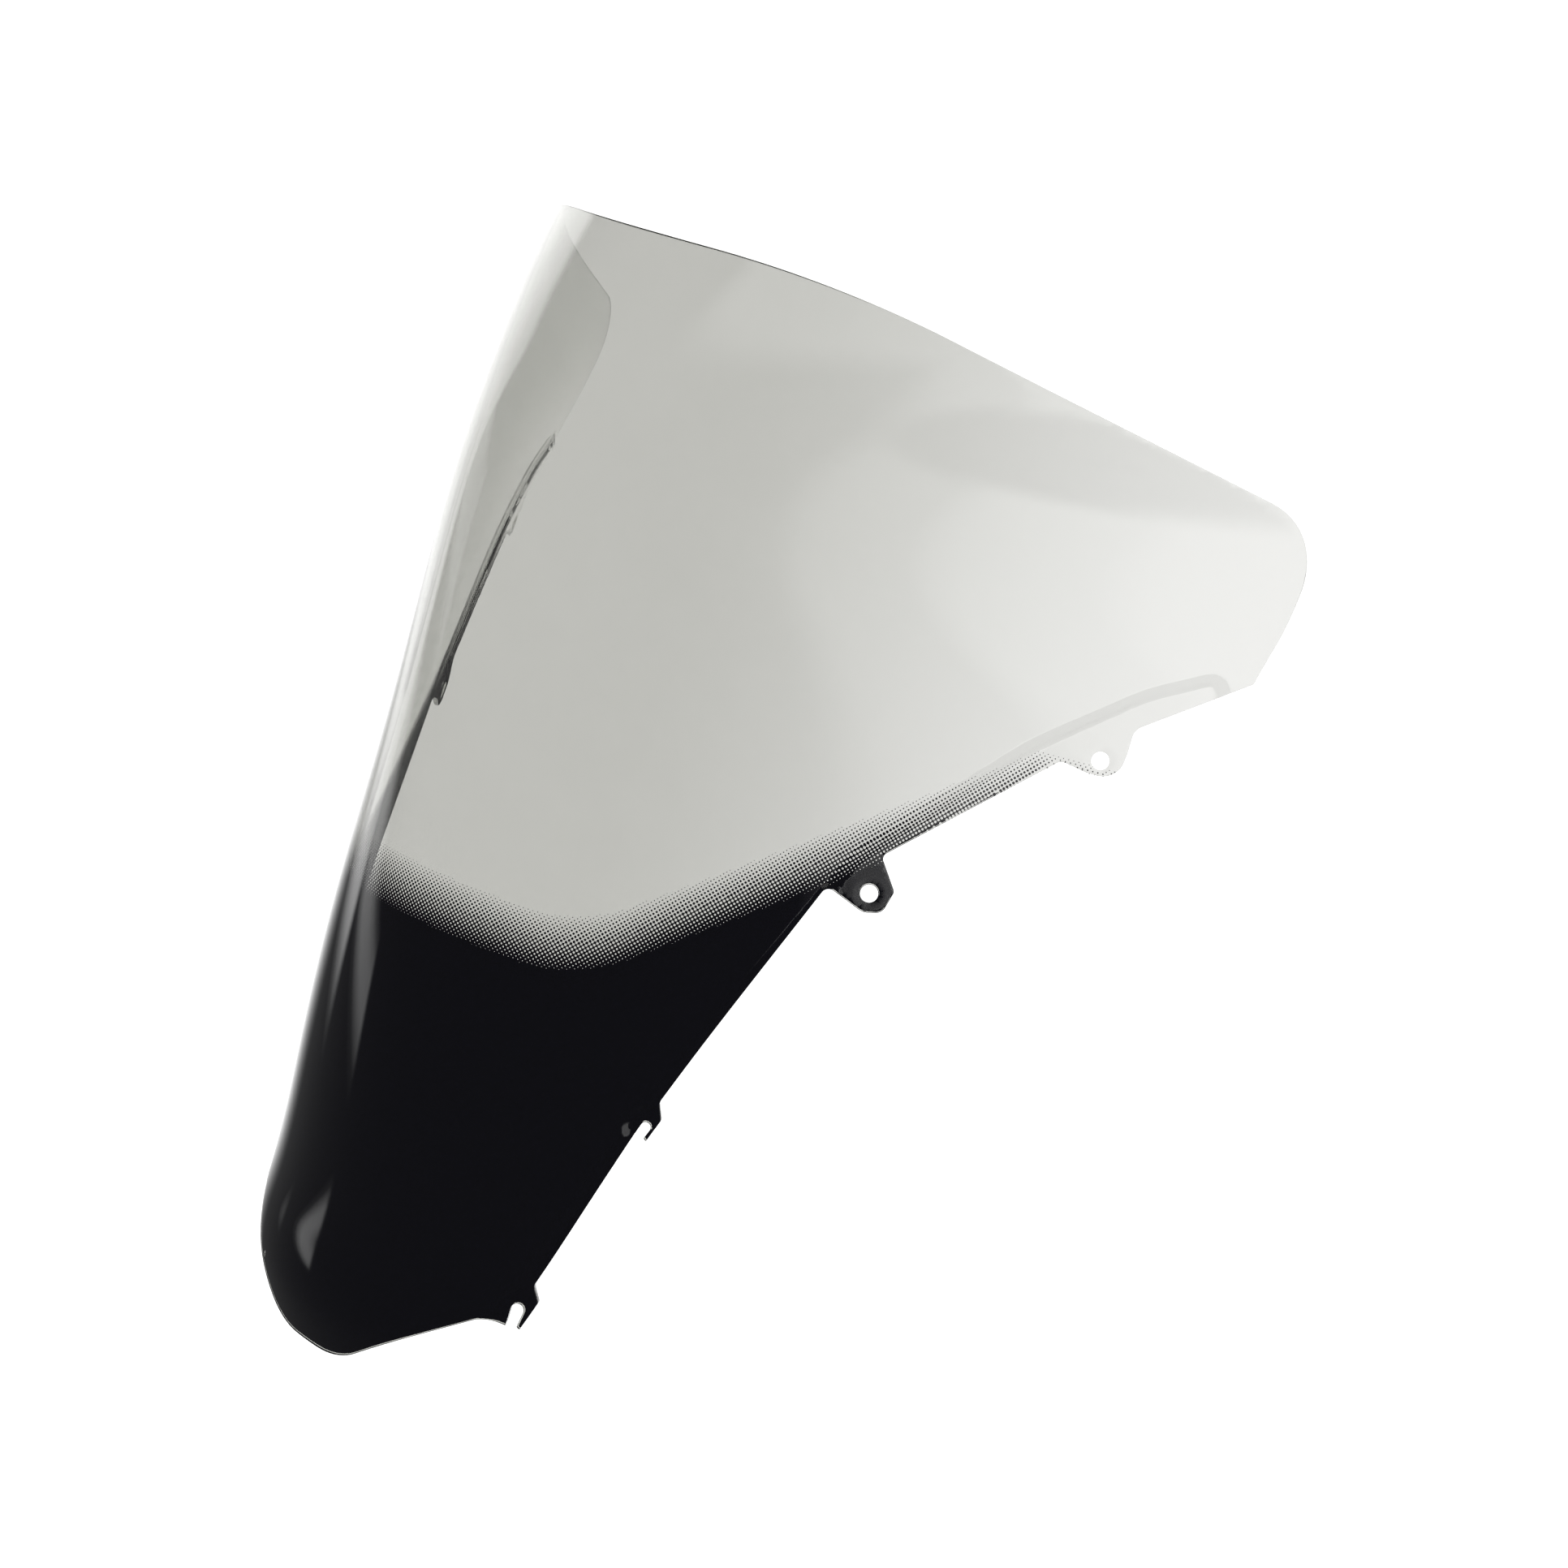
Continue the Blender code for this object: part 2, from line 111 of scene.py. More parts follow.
def rounded_loop(corners):
    """A closed path through (s, t, radius) corners; arcs that crowd one side share its length."""
    points = [np.array(corner[:2]) for corner in corners]
    count = len(points)
    wanted = []
    for i, corner in enumerate(corners):
        turn, *_ = turn_at(points[i - 1], points[i], points[(i + 1) % count])
        wanted.append(corner[2] * math.tan(turn / 2))
    path = []
    for i, here in enumerate(points):
        cut = wanted[i]
        for j in (i - 1, (i + 1) % count):
            side = ARC_SHARE * float(np.linalg.norm(points[j] - here))
            if wanted[i] + wanted[j] > side:
                cut = min(cut, side * wanted[i] / (wanted[i] + wanted[j]))
        path.extend(corner_arc(points[i - 1], here, points[(i + 1) % count], cut))
    return stepped([*path, path[0]])[:-1]


def rounded_line(corners):
    """An open path through (s, t, radius) corners."""
    points = [np.array(corner[:2]) for corner in corners]
    path = [points[0]]
    for i in range(1, len(points) - 1):
        turn, *_ = turn_at(points[i - 1], points[i], points[i + 1])
        cut = corners[i][2] * math.tan(turn / 2)
        path.extend(corner_arc(points[i - 1], points[i], points[i + 1], cut))
    return stepped([*path, points[-1]])


# %% [markdown]
# ## The router's path
#
# Down each side the real sheet has two rounded tabs, each with a hole for a screw, and two open
# hooks that slide over pegs in the fairing. A hook is a slot with a round end and a short prong.

# %% Hooks, tabs and the trimmed edge
HOLE_RADIUS = 3.65
HOLE_STEPS = 40
PRONG_TIP = 1.6
PRONG_BEVEL = 0.8
TIP_RADIUS = 0.5
SHOULDER_RADIUS = 2.0
NOTCH_RADIUS = 3.0
LOW_HOOK = (102.2, 50.6)
HIGH_HOOK = (137.6, 140.9)
LOW_HOLE = (200.9, 257.2)
HIGH_HOLE = (276.7, 332.6)
# A tab's corners, as (across and up from its hole, radius)
LOW_TAB = [(-17.2, -1.4, 3.0), (-0.5, -8.1, 7.0), (7.1, -6.4, 4.5), (9.7, 3.2, 2.5), (1.0, 15.9, 2.5)]
HIGH_TAB = [(-15.2, -4.1, 4.0), (-4.4, -6.0, 6.0), (8.4, -6.3, 9.0), (9.8, 6.0, 20.0), (9.9, 15.4, 6.0)]


def hook_corners(centre, degrees, slot_radius, depth, lean, shoulder, notch):
    """Corners of one open hook, from the slot's inner wall round the prong to the edge above."""
    angle = math.radians(degrees)
    up = np.array([math.cos(angle), math.sin(angle)])
    out = np.array([math.sin(angle), -math.cos(angle)])
    local = [
        (-depth, -slot_radius, 0.0),
        (slot_radius, -slot_radius, slot_radius),
        (slot_radius, slot_radius, slot_radius),
        (PRONG_BEVEL - depth, slot_radius - lean, TIP_RADIUS),
        (-depth, slot_radius - lean + PRONG_TIP, TIP_RADIUS),
        (shoulder[0], slot_radius + shoulder[1], SHOULDER_RADIUS),
        (notch[0], slot_radius + notch[1], NOTCH_RADIUS),
    ]
    return [(*(np.array(centre) + u * up + v * out), radius) for u, v, radius in local]


def tab_corners(hole, corners):
    return [(hole[0] + across, hole[1] + up, radius) for across, up, radius in corners]


right_half = [
    (22.0, 0.0, 45.0),
    (89.0, 43.8, 12.0),
    *hook_corners(LOW_HOOK, degrees=90.0, slot_radius=3.0, depth=7.2, lean=1.4,
                  shoulder=(6.2, 4.7), notch=(12.3, 1.0)),
    *hook_corners(HIGH_HOOK, degrees=68.3, slot_radius=2.1, depth=5.0, lean=0.3,
                  shoulder=(6.4, 1.5), notch=(12.0, -3.3)),
    *tab_corners(LOW_HOLE, LOW_TAB),
    *tab_corners(HIGH_HOLE, HIGH_TAB),
    (WING_REACH - 5.2, CHORD_HEIGHT - 112.8, 1.5),
    (WING_REACH, CHORD_HEIGHT - 88.0, 90.0),
    (WING_REACH - 0.3, CHORD_HEIGHT - 47.1, 34.0),
    (102.0, CHORD_HEIGHT, 550.0),
]
outline = rounded_loop([*right_half, *[(-s, t, radius) for s, t, radius in reversed(right_half)]])


def circle(centre, radius, steps):
    angle = np.arange(steps) * 2 * math.pi / steps
    return np.column_stack([centre[0] + radius * np.cos(angle), centre[1] + radius * np.sin(angle)])


hole_places = [(side * s, t) for side in (1, -1) for s, t in (LOW_HOLE, HIGH_HOLE)]
holes = [circle(place, HOLE_RADIUS, HOLE_STEPS) for place in hole_places]
print("points on the trimmed edge:", len(outline))

# %% [markdown]
# ## The formed surface
#
# Hot acrylic takes the shape of its form. Here the form is a bowed spine that carries a section at
# each height: a rounded centre that straightens into two swept wings. A few numbers up the chord,
# joined by a natural spline, give a surface with no ripples, as a smooth wooden form would.

# %% Spine and sections
RAKE = math.radians(71.3)
# The spine, as (share of the chord, distance out from it)
BOW = [
    (0.000, 14.0), (0.041, 21.5), (0.102, 22.0), (0.204, 24.0), (0.367, 29.0),
    (0.531, 30.0), (0.694, 31.5), (0.837, 25.0), (0.918, 10.5), (1.000, -10.5),
]
# The sections, as (share of the chord, slope of the wings, radius at the centre, extra curl)
SECTIONS = [
    (0.000, 1.26, 108.0, -0.1e-4), (0.245, 1.26, 90.0, -2.1e-4), (0.490, 1.28, 65.0, -4.2e-4),
    (0.735, 1.32, 50.0, -5.1e-4), (0.878, 1.42, 66.0, -2.5e-4), (1.000, 1.60, 133.0, 3.0e-4),
]
PROFILE_STEPS = 160
PROFILE_REACH = 344.0
SLOPE_STEP = 0.05


def natural_spline(stations, values):
    """The natural cubic spline through the values at the stations, as a function."""
    gap = np.diff(stations)
    climb = np.diff(values) / gap
    size = len(stations)
    matrix = np.eye(size)
    right = np.zeros(size)
    for i in range(1, size - 1):
        matrix[i, i - 1 : i + 2] = gap[i - 1], 2 * (gap[i - 1] + gap[i]), gap[i]
        right[i] = 6 * (climb[i] - climb[i - 1])
    bend = np.linalg.solve(matrix, right)

    def curve(at):
        i = np.clip(np.searchsorted(stations, at) - 1, 0, size - 2)
        past = at - stations[i]
        start = climb[i] - gap[i] * (2 * bend[i] + bend[i + 1]) / 6
        cubic = (bend[i + 1] - bend[i]) / (6 * gap[i])
        return values[i] + past * (start + past * (bend[i] / 2 + past * cubic))

    return curve


bow_share, bow_values = np.array(BOW).T
section_share, *section_columns = np.array(SECTIONS).T
bow_at = natural_spline(bow_share * CHORD_HEIGHT, bow_values)
slope_at, radius_at, curl_at = (
    natural_spline(section_share * CHORD_HEIGHT, column) for column in section_columns
)


def unroll(s, t):
    """Lateral positions of points that lie s along their sections at heights t."""
    x = np.linspace(0, PROFILE_REACH, PROFILE_STEPS)
    slope, radius, curl = (curve(t)[:, None] for curve in (slope_at, radius_at, curl_at))
    lean = slope**2 * x / np.hypot(slope**2 * radius, slope * x) + 2 * curl * x
    stretch = np.hypot(1, lean)
    pieces = (stretch[:, 1:] + stretch[:, :-1]) / 2 * np.diff(x)
    run = np.hstack([np.zeros((len(pieces), 1)), np.cumsum(pieces, axis=1)])
    return np.sign(s) * np.array([np.interp(out, along, x) for out, along in zip(np.abs(s), run)])


def formed(s, t):
    """Points of the smooth outer face: across, up the chord, and out from it."""
    x = unroll(s, t)
    soft = slope_at(t) ** 2 * radius_at(t)
    drop = np.hypot(soft, slope_at(t) * x) - soft + curl_at(t) * x**2
    return np.column_stack([x, t, bow_at(t) - drop])


def formed_normal(s, t):
    across = formed(s + SLOPE_STEP, t) - formed(s - SLOPE_STEP, t)
    up = formed(s, t + SLOPE_STEP) - formed(s, t - SLOPE_STEP)
    normal = np.cross(across, up)
    return normal / np.linalg.norm(normal, axis=1)[:, None]


middle_line = formed(np.zeros(3), np.linspace(0, CHORD_HEIGHT, 3))
print("spine at nose, middle and top, mm out from the chord:", middle_line[:, 2].round(1))

# %% [markdown]
# ## The joggle and the flat pads
#
# Along its lower side edges the real sheet steps back by nearly its own thickness, so that it lies
# flush behind the fairing. This step is a joggle. Round each hole and each hook the sheet is flat,
# for a washer or a peg's collar.

# %% Joggle, pads and the finished outer face
FLANGE_STEP = 2.6
FLANGE_RAMP = 6.0
TAB_PAD_RADIUS = 7.0
HOOK_PAD_RADIUS = 5.5
PAD_BLEND = 5.0
flange_line = rounded_line([
    (82.0, 28.0, 0.0), (138.0, 159.4, 300.0), (190.0, 273.0, 40.0), (247.0, 334.0, 120.0),
    (285.7, 365.1, 60.0), (314.0, 380.5, 8.0), (323.0, 366.0, 0.0),
])


def ease(share):
    share = np.clip(share, 0, 1)
    return share**2 * (3 - 2 * share)


def beyond(line, s, t):
    """Signed distance past a line in the flat drawing, positive on its right-hand side."""
    point = np.column_stack([np.abs(s), t])
    nearest = np.full(len(point), np.inf)
    signed = np.zeros(len(point))
    for start, end in zip(line[:-1], line[1:]):
        way = end - start
        offset = point - start
        share = np.clip(offset @ way / (way @ way), 0, 1)
        gap = np.linalg.norm(offset - share[:, None] * way, axis=1)
        side = np.sign(way[1] * offset[:, 0] - way[0] * offset[:, 1])
        closer = gap < nearest
        nearest[closer] = gap[closer]
        signed[closer] = (side * gap)[closer]
    return signed


def stepped_back(s, t):
    """The outer face with its flange stepped back, and the surface's own normal."""
    normal = formed_normal(s, t)
    step = FLANGE_STEP * ease(beyond(flange_line, s, t) / FLANGE_RAMP)
    return formed(s, t) - step[:, None] * normal, normal


pads = []
pad_places = (((LOW_HOLE, HIGH_HOLE), TAB_PAD_RADIUS), ((LOW_HOOK, HIGH_HOOK), HOOK_PAD_RADIUS))
for places, radius in pad_places:
    for s, t in places:
        for side in (1, -1):
            centre, normal = stepped_back(np.array([side * s]), np.array([t]))
            pads.append(((side * s, t), radius, centre[0], normal[0]))


def outer_face(s, t):
    """The finished outer face and the way through the sheet, at flat places (s, t)."""
    point, normal = stepped_back(s, t)
    for place, radius, centre, pad_normal in pads:
        away = np.hypot(s - place[0], t - place[1])
        hold = (1 - ease((away - radius) / PAD_BLEND))[:, None]
        point = point - hold * ((point - centre) @ pad_normal)[:, None] * pad_normal
        normal = normal + hold * (pad_normal - normal)
    return point, normal / np.linalg.norm(normal, axis=1)[:, None]


def lean_back(local):
    """From the chord's frame to the world's, in millimetres."""
    lateral = np.array([1, 0, 0])
    chord = np.array([0, math.cos(RAKE), math.sin(RAKE)])
    out = np.array([0, -math.sin(RAKE), math.cos(RAKE)])
    return local @ np.array([lateral, chord, out])


print("flat pads:", len(pads))

# %% [markdown]
# ## A flat mesh to form
#
# The drawing is filled with triangles by a constrained Delaunay triangulation, which keeps every
# drawn edge. The points are close together, so that the formed sheet bends the light smoothly.

# %% Fill a drawing with triangles
MERGE = 1e-5


def contains(loop, point):
    """Which points lie inside a closed loop, by counting the edges to their right."""
    inside = np.zeros(len(point), dtype=bool)
    for (s1, t1), (s2, t2) in zip(loop, np.roll(loop, -1, axis=0)):
        if t1 == t2:
            continue
        crosses = (point[:, 1] < t1) != (point[:, 1] < t2)
        inside ^= crosses & (point[:, 0] < s1 + (point[:, 1] - t1) * (s2 - s1) / (t2 - t1))
    return inside


def thinned(wanted, drawn, reach):
    """The wanted points, without those that crowd a drawn point or one kept before them."""
    grid = {}

    def home(s, t):
        return math.floor(s / reach), math.floor(t / reach)

    for s, t in drawn:
        grid.setdefault(home(s, t), []).append((s, t))
    kept = []
    for s, t in wanted:
        row, column = home(s, t)
        near = [
            other
            for a in (-1, 0, 1)
            for b in (-1, 0, 1)
            for other in grid.get((row + a, column + b), ())
        ]
        if all(math.hypot(s - x, t - y) >= reach for x, y in near):
            grid.setdefault((row, column), []).append((s, t))
            kept.append((s, t))
    return np.array(kept)


def filled(loops, lines, inner):
    """Flat triangles that keep the closed loops and the open lines, with inner points between."""
    points, edges = [], []
    for path, closed in [(loop, True) for loop in loops] + [(line, False) for line in lines]:
        first, count = len(points), len(path)
        points.extend(path)
        sides = range(count if closed else count - 1)
        edges.extend((first + i, first + (i + 1) % count) for i in sides)
    points.extend(inner)
    result = delaunay_2d_cdt([Vector(point) for point in points], edges, [], 0, MERGE)
    return np.array([tuple(vertex) for vertex in result[0]]), np.array(result[2])


SLIVER = 1e-3  # mm2; a triangle smaller than this lies along a straight edge, and isn't sheet


def area(flat_points, triangles):
    """Areas of flat triangles, in square millimetres."""
    a, b, c = (flat_points[triangles[:, k]] for k in range(3))
    first, second = b - a, c - a
    return (first[:, 0] * second[:, 1] - first[:, 1] * second[:, 0]) / 2


def staggered(step):
    """Staggered rows of points over the whole drawing."""
    rows = np.arange(step / 2, CHORD_HEIGHT, step * math.sqrt(3) / 2)
    across = np.arange(-WING_REACH, WING_REACH, step)
    return np.vstack([np.column_stack([across + step / 2 * (k % 2), np.full(len(across), t)])
                      for k, t in enumerate(rows)])


JOGGLE_ROWS = 11
JOGGLE_LAP = 0.1  # how far the rows run past the ramp at each end, as a share of its width


def joggle_rows():
    """Rows of points along both joggles, from the head of the ramp to its foot."""
    along = np.gradient(flange_line, axis=0)
    across = np.column_stack([along[:, 1], -along[:, 0]]) / np.linalg.norm(along, axis=1)[:, None]
    shares = np.linspace(-JOGGLE_LAP, 1 + JOGGLE_LAP, JOGGLE_ROWS)
    rows = [flange_line + across * share * FLANGE_RAMP for share in shares]
    return np.vstack([row * side for row in rows for side in ([1, 1], [-1, 1])])


PAD_RING_STEPS = 28
PAD_RING_WIDTHS = (0.0, 1.7, 3.3, PAD_BLEND)


def pad_rings():
    """Rings of points round every pad, where the sheet bends from flat to its own curve."""
    return np.vstack([
        circle(place, radius + width, PAD_RING_STEPS)
        for place, radius, *_ in pads
        for width in PAD_RING_WIDTHS
    ])


FINE_REACH = 0.5
OPEN_SHARE = 0.6  # how close an open point may come to any other, as a share of their spacing


def inner_points(step, drawn):
    """Points for the open sheet: the joggles and pads first, then rows that keep clear of them."""
    fine = thinned(np.vstack([joggle_rows(), pad_rings()]), drawn, FINE_REACH)
    rows = thinned(staggered(step), np.vstack([drawn, fine]), step * OPEN_SHARE)
    return np.vstack([fine, rows])


print("points round the pads:", len(pad_rings()), " along the joggles:", len(joggle_rows()))

# %% [markdown]
# ## The sheet
#
# The sheet has an outer face, an inner face, and a cut edge between them. A router
# leaves a sharp arris, which the maker flames or files round, so the edge here is a small profile
# of rings. The flat mesh stops short of the trimmed edge by the profile's width.

# %% Make the sheet's flat mesh
SHEET_THICKNESS = 3.0
SHEET_STEP = 3.4
# The rounded edge, as (how far in from the trimmed edge, depth below the outer face)
EDGE_PROFILE = [(0.35, 0.0), (0.1, 0.1), (0.0, 0.35), (0.0, 2.65), (0.1, 2.9), (0.35, 3.0)]
SHARPEST_MITRE = 0.5  # the least cosine a mitre is worked out for


def inset(loop, width, side=1):
    """The loop moved by a width into the sheet, which is inside it, or outside where side is -1."""
    before, after = np.roll(loop, 1, axis=0), np.roll(loop, -1, axis=0)
    first, second = loop - before, after - loop
    first /= np.linalg.norm(first, axis=1)[:, None]
    second /= np.linalg.norm(second, axis=1)[:, None]
    mean = first + second
    mean /= np.linalg.norm(mean, axis=1)[:, None]
    mitre = 1 / np.clip((first * mean).sum(axis=1), SHARPEST_MITRE, 1)
    inward = np.column_stack([-mean[:, 1], mean[:, 0]]) * side
    return loop + inward * (width * mitre)[:, None]


first_width = EDGE_PROFILE[0][0]
# The outline runs anticlockwise and the sheet is inside it; a hole's sheet is outside it.
trims = [(outline, 1)] + [(hole, -1) for hole in holes]
face_loops = [inset(loop, first_width, side) for loop, side in trims]
drawn = np.vstack(face_loops)
sheet_inner = inner_points(SHEET_STEP, drawn)


def on_sheet(point, loops):
    inside = contains(loops[0], point)
    for hole in loops[1:]:
        inside &= ~contains(hole, point)
    return inside


sheet_inner = sheet_inner[on_sheet(sheet_inner, face_loops)]
flat, faces = filled(face_loops, [], sheet_inner)
faces = faces[on_sheet(flat[faces].mean(axis=1), face_loops) & (area(flat, faces) > SLIVER)]
print("flat sheet:", len(flat), "points,", len(faces), "triangles")

# %% [markdown]
# ## Forming
#
# Each flat point is laid on the formed surface at its depth in the sheet. The box of the CAD solid
# tells where the world's origin lies.

# %% Lay the sheet on its form
def laid(flat_points, depth):
    """World places, in mm before the origin is set, of flat points at a depth in the sheet."""
    point, normal = outer_face(flat_points[:, 0], flat_points[:, 1])
    return lean_back(point - depth * normal)


outer, inner = laid(flat, 0.0), laid(flat, SHEET_THICKNESS)
panel_low, panel_high = (np.array(corner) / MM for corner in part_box("screen_panel"))
both = np.vstack([laid(path, depth) for path in (outline, flat) for depth in (0.0, SHEET_THICKNESS)])
made_low, made_high = both.min(axis=0), both.max(axis=0)
shift = (made_low + made_high - panel_low - panel_high) / 2
print("origin from the solid's box, mm:", shift.round(2), "size against it:",
      (made_high - made_low - panel_high + panel_low).round(2))

# %% [markdown]
# ## Two faces and a rounded edge
#
# The same triangles make the outer face and, turned over, the inner one. Rings of corners down the
# edge's profile join the two, and this edge has its own material. At the tips of the hooks a few
# hairline gaps, under 0.05 mm wide, stay open. The cell prints how many open edges there are.

# %% Build the closed body
def as_object(name, mesh):
    """A new object at the origin from a bmesh."""
    data = bpy.data.meshes.new(name)
    mesh.to_mesh(data)
    mesh.free()
    thing = bpy.data.objects.new(name, data)
    bpy.context.scene.collection.objects.link(thing)
    return thing


def vertices_at(mesh, places):
    return [mesh.verts.new((place - shift) * MM) for place in places]


FACE, EDGE = 0, 1
sheet_mesh = bmesh.new()
outer_vertices = vertices_at(sheet_mesh, outer)
inner_vertices = vertices_at(sheet_mesh, inner)
for a, b, c in faces:
    sheet_mesh.faces.new((outer_vertices[a], outer_vertices[b], outer_vertices[c]))
    sheet_mesh.faces.new((inner_vertices[a], inner_vertices[c], inner_vertices[b]))
first = 0
for (loop, side), face_loop in zip(trims, face_loops):
    rings = [outer_vertices[first : first + len(loop)]]
    for width, depth in EDGE_PROFILE[1:-1]:
        rings.append(vertices_at(sheet_mesh, laid(inset(loop, width, side), depth)))
    rings.append(inner_vertices[first : first + len(loop)])
    for near, far in zip(rings[:-1], rings[1:]):
        for i in range(len(loop)):
            j = (i + 1) % len(loop)
            wall = sheet_mesh.faces.new((near[i], far[i], far[j], near[j]))
            wall.material_index = EDGE
    first += len(loop)
bmesh.ops.recalc_face_normals(sheet_mesh, faces=sheet_mesh.faces)
loose = [vertex for vertex in sheet_mesh.verts if not vertex.link_faces]
bmesh.ops.delete(sheet_mesh, geom=loose, context="VERTS")
open_edges = sum(len(edge.link_faces) != 2 for edge in sheet_mesh.edges)
sheet = as_object("acrylic_sheet", sheet_mesh)
sheet.data.shade_smooth()
print("sheet:", len(sheet.data.polygons), "faces;", open_edges, "open edges")

# %% [markdown]
# ## Weighted normals
#
# The rounded edge is much smaller than the faces beside it. A Weighted Normal modifier lets the
# large faces decide, so that the broad reflections run undisturbed right up to the edge.

# %% Weight the normals, then make a plain mesh
def baked(thing):
    """Replaces the object's mesh by what its modifiers make, and takes the modifiers off."""
    graph = bpy.context.evaluated_depsgraph_get()
    made = bpy.data.meshes.new_from_object(thing.evaluated_get(graph))
    thing.modifiers.clear()
    thing.data = made
    return thing


weighted = sheet.modifiers.new("even_light", "WEIGHTED_NORMAL")
weighted.mode = "FACE_AREA"
weighted.weight = 50
baked(sheet)
print("sheet after its modifier:", len(sheet.data.polygons), "faces")

# %% [markdown]
# ## The print's artwork
#
# The black mask is screen printed on the inner face while the sheet is still flat. It hides what
# is mounted behind the nose. At its top it fades out in a halftone: a square lattice of dots,
# turned by 45 degrees, whose dots grow until they touch and leave only small holes of clear sheet.

# %% The fade's middle line
FADE_AT_CENTRE = 23.5  # width of the fade round the centre line
FADE_ON_RISE = 20.5  # width of the fade where it climbs each side
FADE_LEAD = 10.0  # how far before the shoulder its width starts to change
FADE_CHANGE = 40.0  # how far the change runs
SHOULDER = 92.0
PRINT_TOP = 206.5
PRINT_DIP = 4.5
PRINT_RISE = 0.727
PRINT_END = 252.0
shoulder_height = PRINT_TOP - PRINT_DIP
rise_end = shoulder_height + (PRINT_END - SHOULDER) * PRINT_RISE
fade_right = [(SHOULDER, shoulder_height, 70.0), (PRINT_END, rise_end, 0.0)]
fade_left = [(-s, t, radius) for s, t, radius in reversed(fade_right)]
fade_line = rounded_line([*fade_left, (0.0, PRINT_TOP, 200.0), *fade_right])


def cover(point):
    """How much of the sheet the print covers at flat places: 1 below the fade, 0 above it."""
    height = point[:, 1] - np.interp(point[:, 0], fade_line[:, 0], fade_line[:, 1])
    slope = np.interp(point[:, 0], fade_line[:, 0], np.gradient(fade_line[:, 1], fade_line[:, 0]))
    past = height / np.hypot(1, slope)
    rise = ease((np.abs(point[:, 0]) - SHOULDER + FADE_LEAD) / FADE_CHANGE)
    return 0.5 - past / (FADE_AT_CENTRE + (FADE_ON_RISE - FADE_AT_CENTRE) * rise)


fade_heights = fade_line[:, 1]
print("fade's middle line, mm up the chord:", fade_heights.min().round(1), "to", fade_heights.max().round(1))

# %% [markdown]
# ## The lattice of dots and holes
#
# Dots and holes stand on two lattices that are shifted by half a step, like the black and white
# squares of a chessboard. How much ink a place carries sets the size of its dot or its hole.

# %% Choose the dots and the clear holes
PITCH = 1.49
ROW_STEP = PITCH / math.sqrt(2)
COLUMN_STEP = PITCH * math.sqrt(2)
LATTICE_FOOT, LATTICE_TOP = 170, 340  # heights that the lattice covers
DOT_SIDES = 8
DOT_AREA = 2 * math.sqrt(2)  # of a regular eight-sided dot with a radius of 1
FIRST_DOT, LAST_DOT = 0.025, 0.52  # cover at the smallest and the largest dot
FIRST_HOLE, LAST_HOLE = 0.46, 0.985  # cover at the largest and the smallest clear hole
TRIM_MARGIN = 0.3


def lattice(offset):
    """Places of a square lattice turned by 45 degrees, as staggered rows."""
    rows = np.arange(math.floor(LATTICE_FOOT / ROW_STEP), math.ceil(LATTICE_TOP / ROW_STEP))
    reach = math.ceil(WING_REACH / COLUMN_STEP)
    places = [
        ((j + 0.5 * ((k + offset) % 2)) * COLUMN_STEP, k * ROW_STEP)
        for k in rows
        for j in range(-reach, reach + 1)
    ]
    return np.array(places)


def clear_of_trim(point, radius):
    """Which dots lie whole on the sheet, clear of its trimmed edge and its holes."""
    ring = np.vstack([outline, *holes])
    gap = np.array([np.hypot(*(ring - place).T).min() for place in point])
    return on_sheet(point, [outline, *holes]) & (gap > radius + TRIM_MARGIN)


dots, gaps = lattice(0), lattice(1)
dot_cover, gap_cover = cover(dots), cover(gaps)
chosen = (dot_cover > FIRST_DOT) & (dot_cover < LAST_DOT)
dots, dot_cover = dots[chosen], dot_cover[chosen]
chosen = (gap_cover > FIRST_HOLE) & (gap_cover < LAST_HOLE)
gaps, gap_cover = gaps[chosen], gap_cover[chosen]
dot_radius = PITCH * np.sqrt(dot_cover / DOT_AREA)
gap_radius = PITCH * np.sqrt((1 - gap_cover) / DOT_AREA)
keep = clear_of_trim(dots, dot_radius)
dots, dot_radius = dots[keep], dot_radius[keep]
keep = clear_of_trim(gaps, gap_radius)
gaps, gap_radius = gaps[keep], gap_radius[keep]
print("printed dots:", len(dots), " clear holes:", len(gaps))

# %% [markdown]
# ## Dots by Geometry Nodes
#
# Thousands of dots follow one rule, so a node tree stamps one eight-sided disc on every lattice
# point and scales it by that point's own radius. The stamping is done flat, as it is on the
# printer's film. The realized dots are then laid on the formed sheet with all the rest.

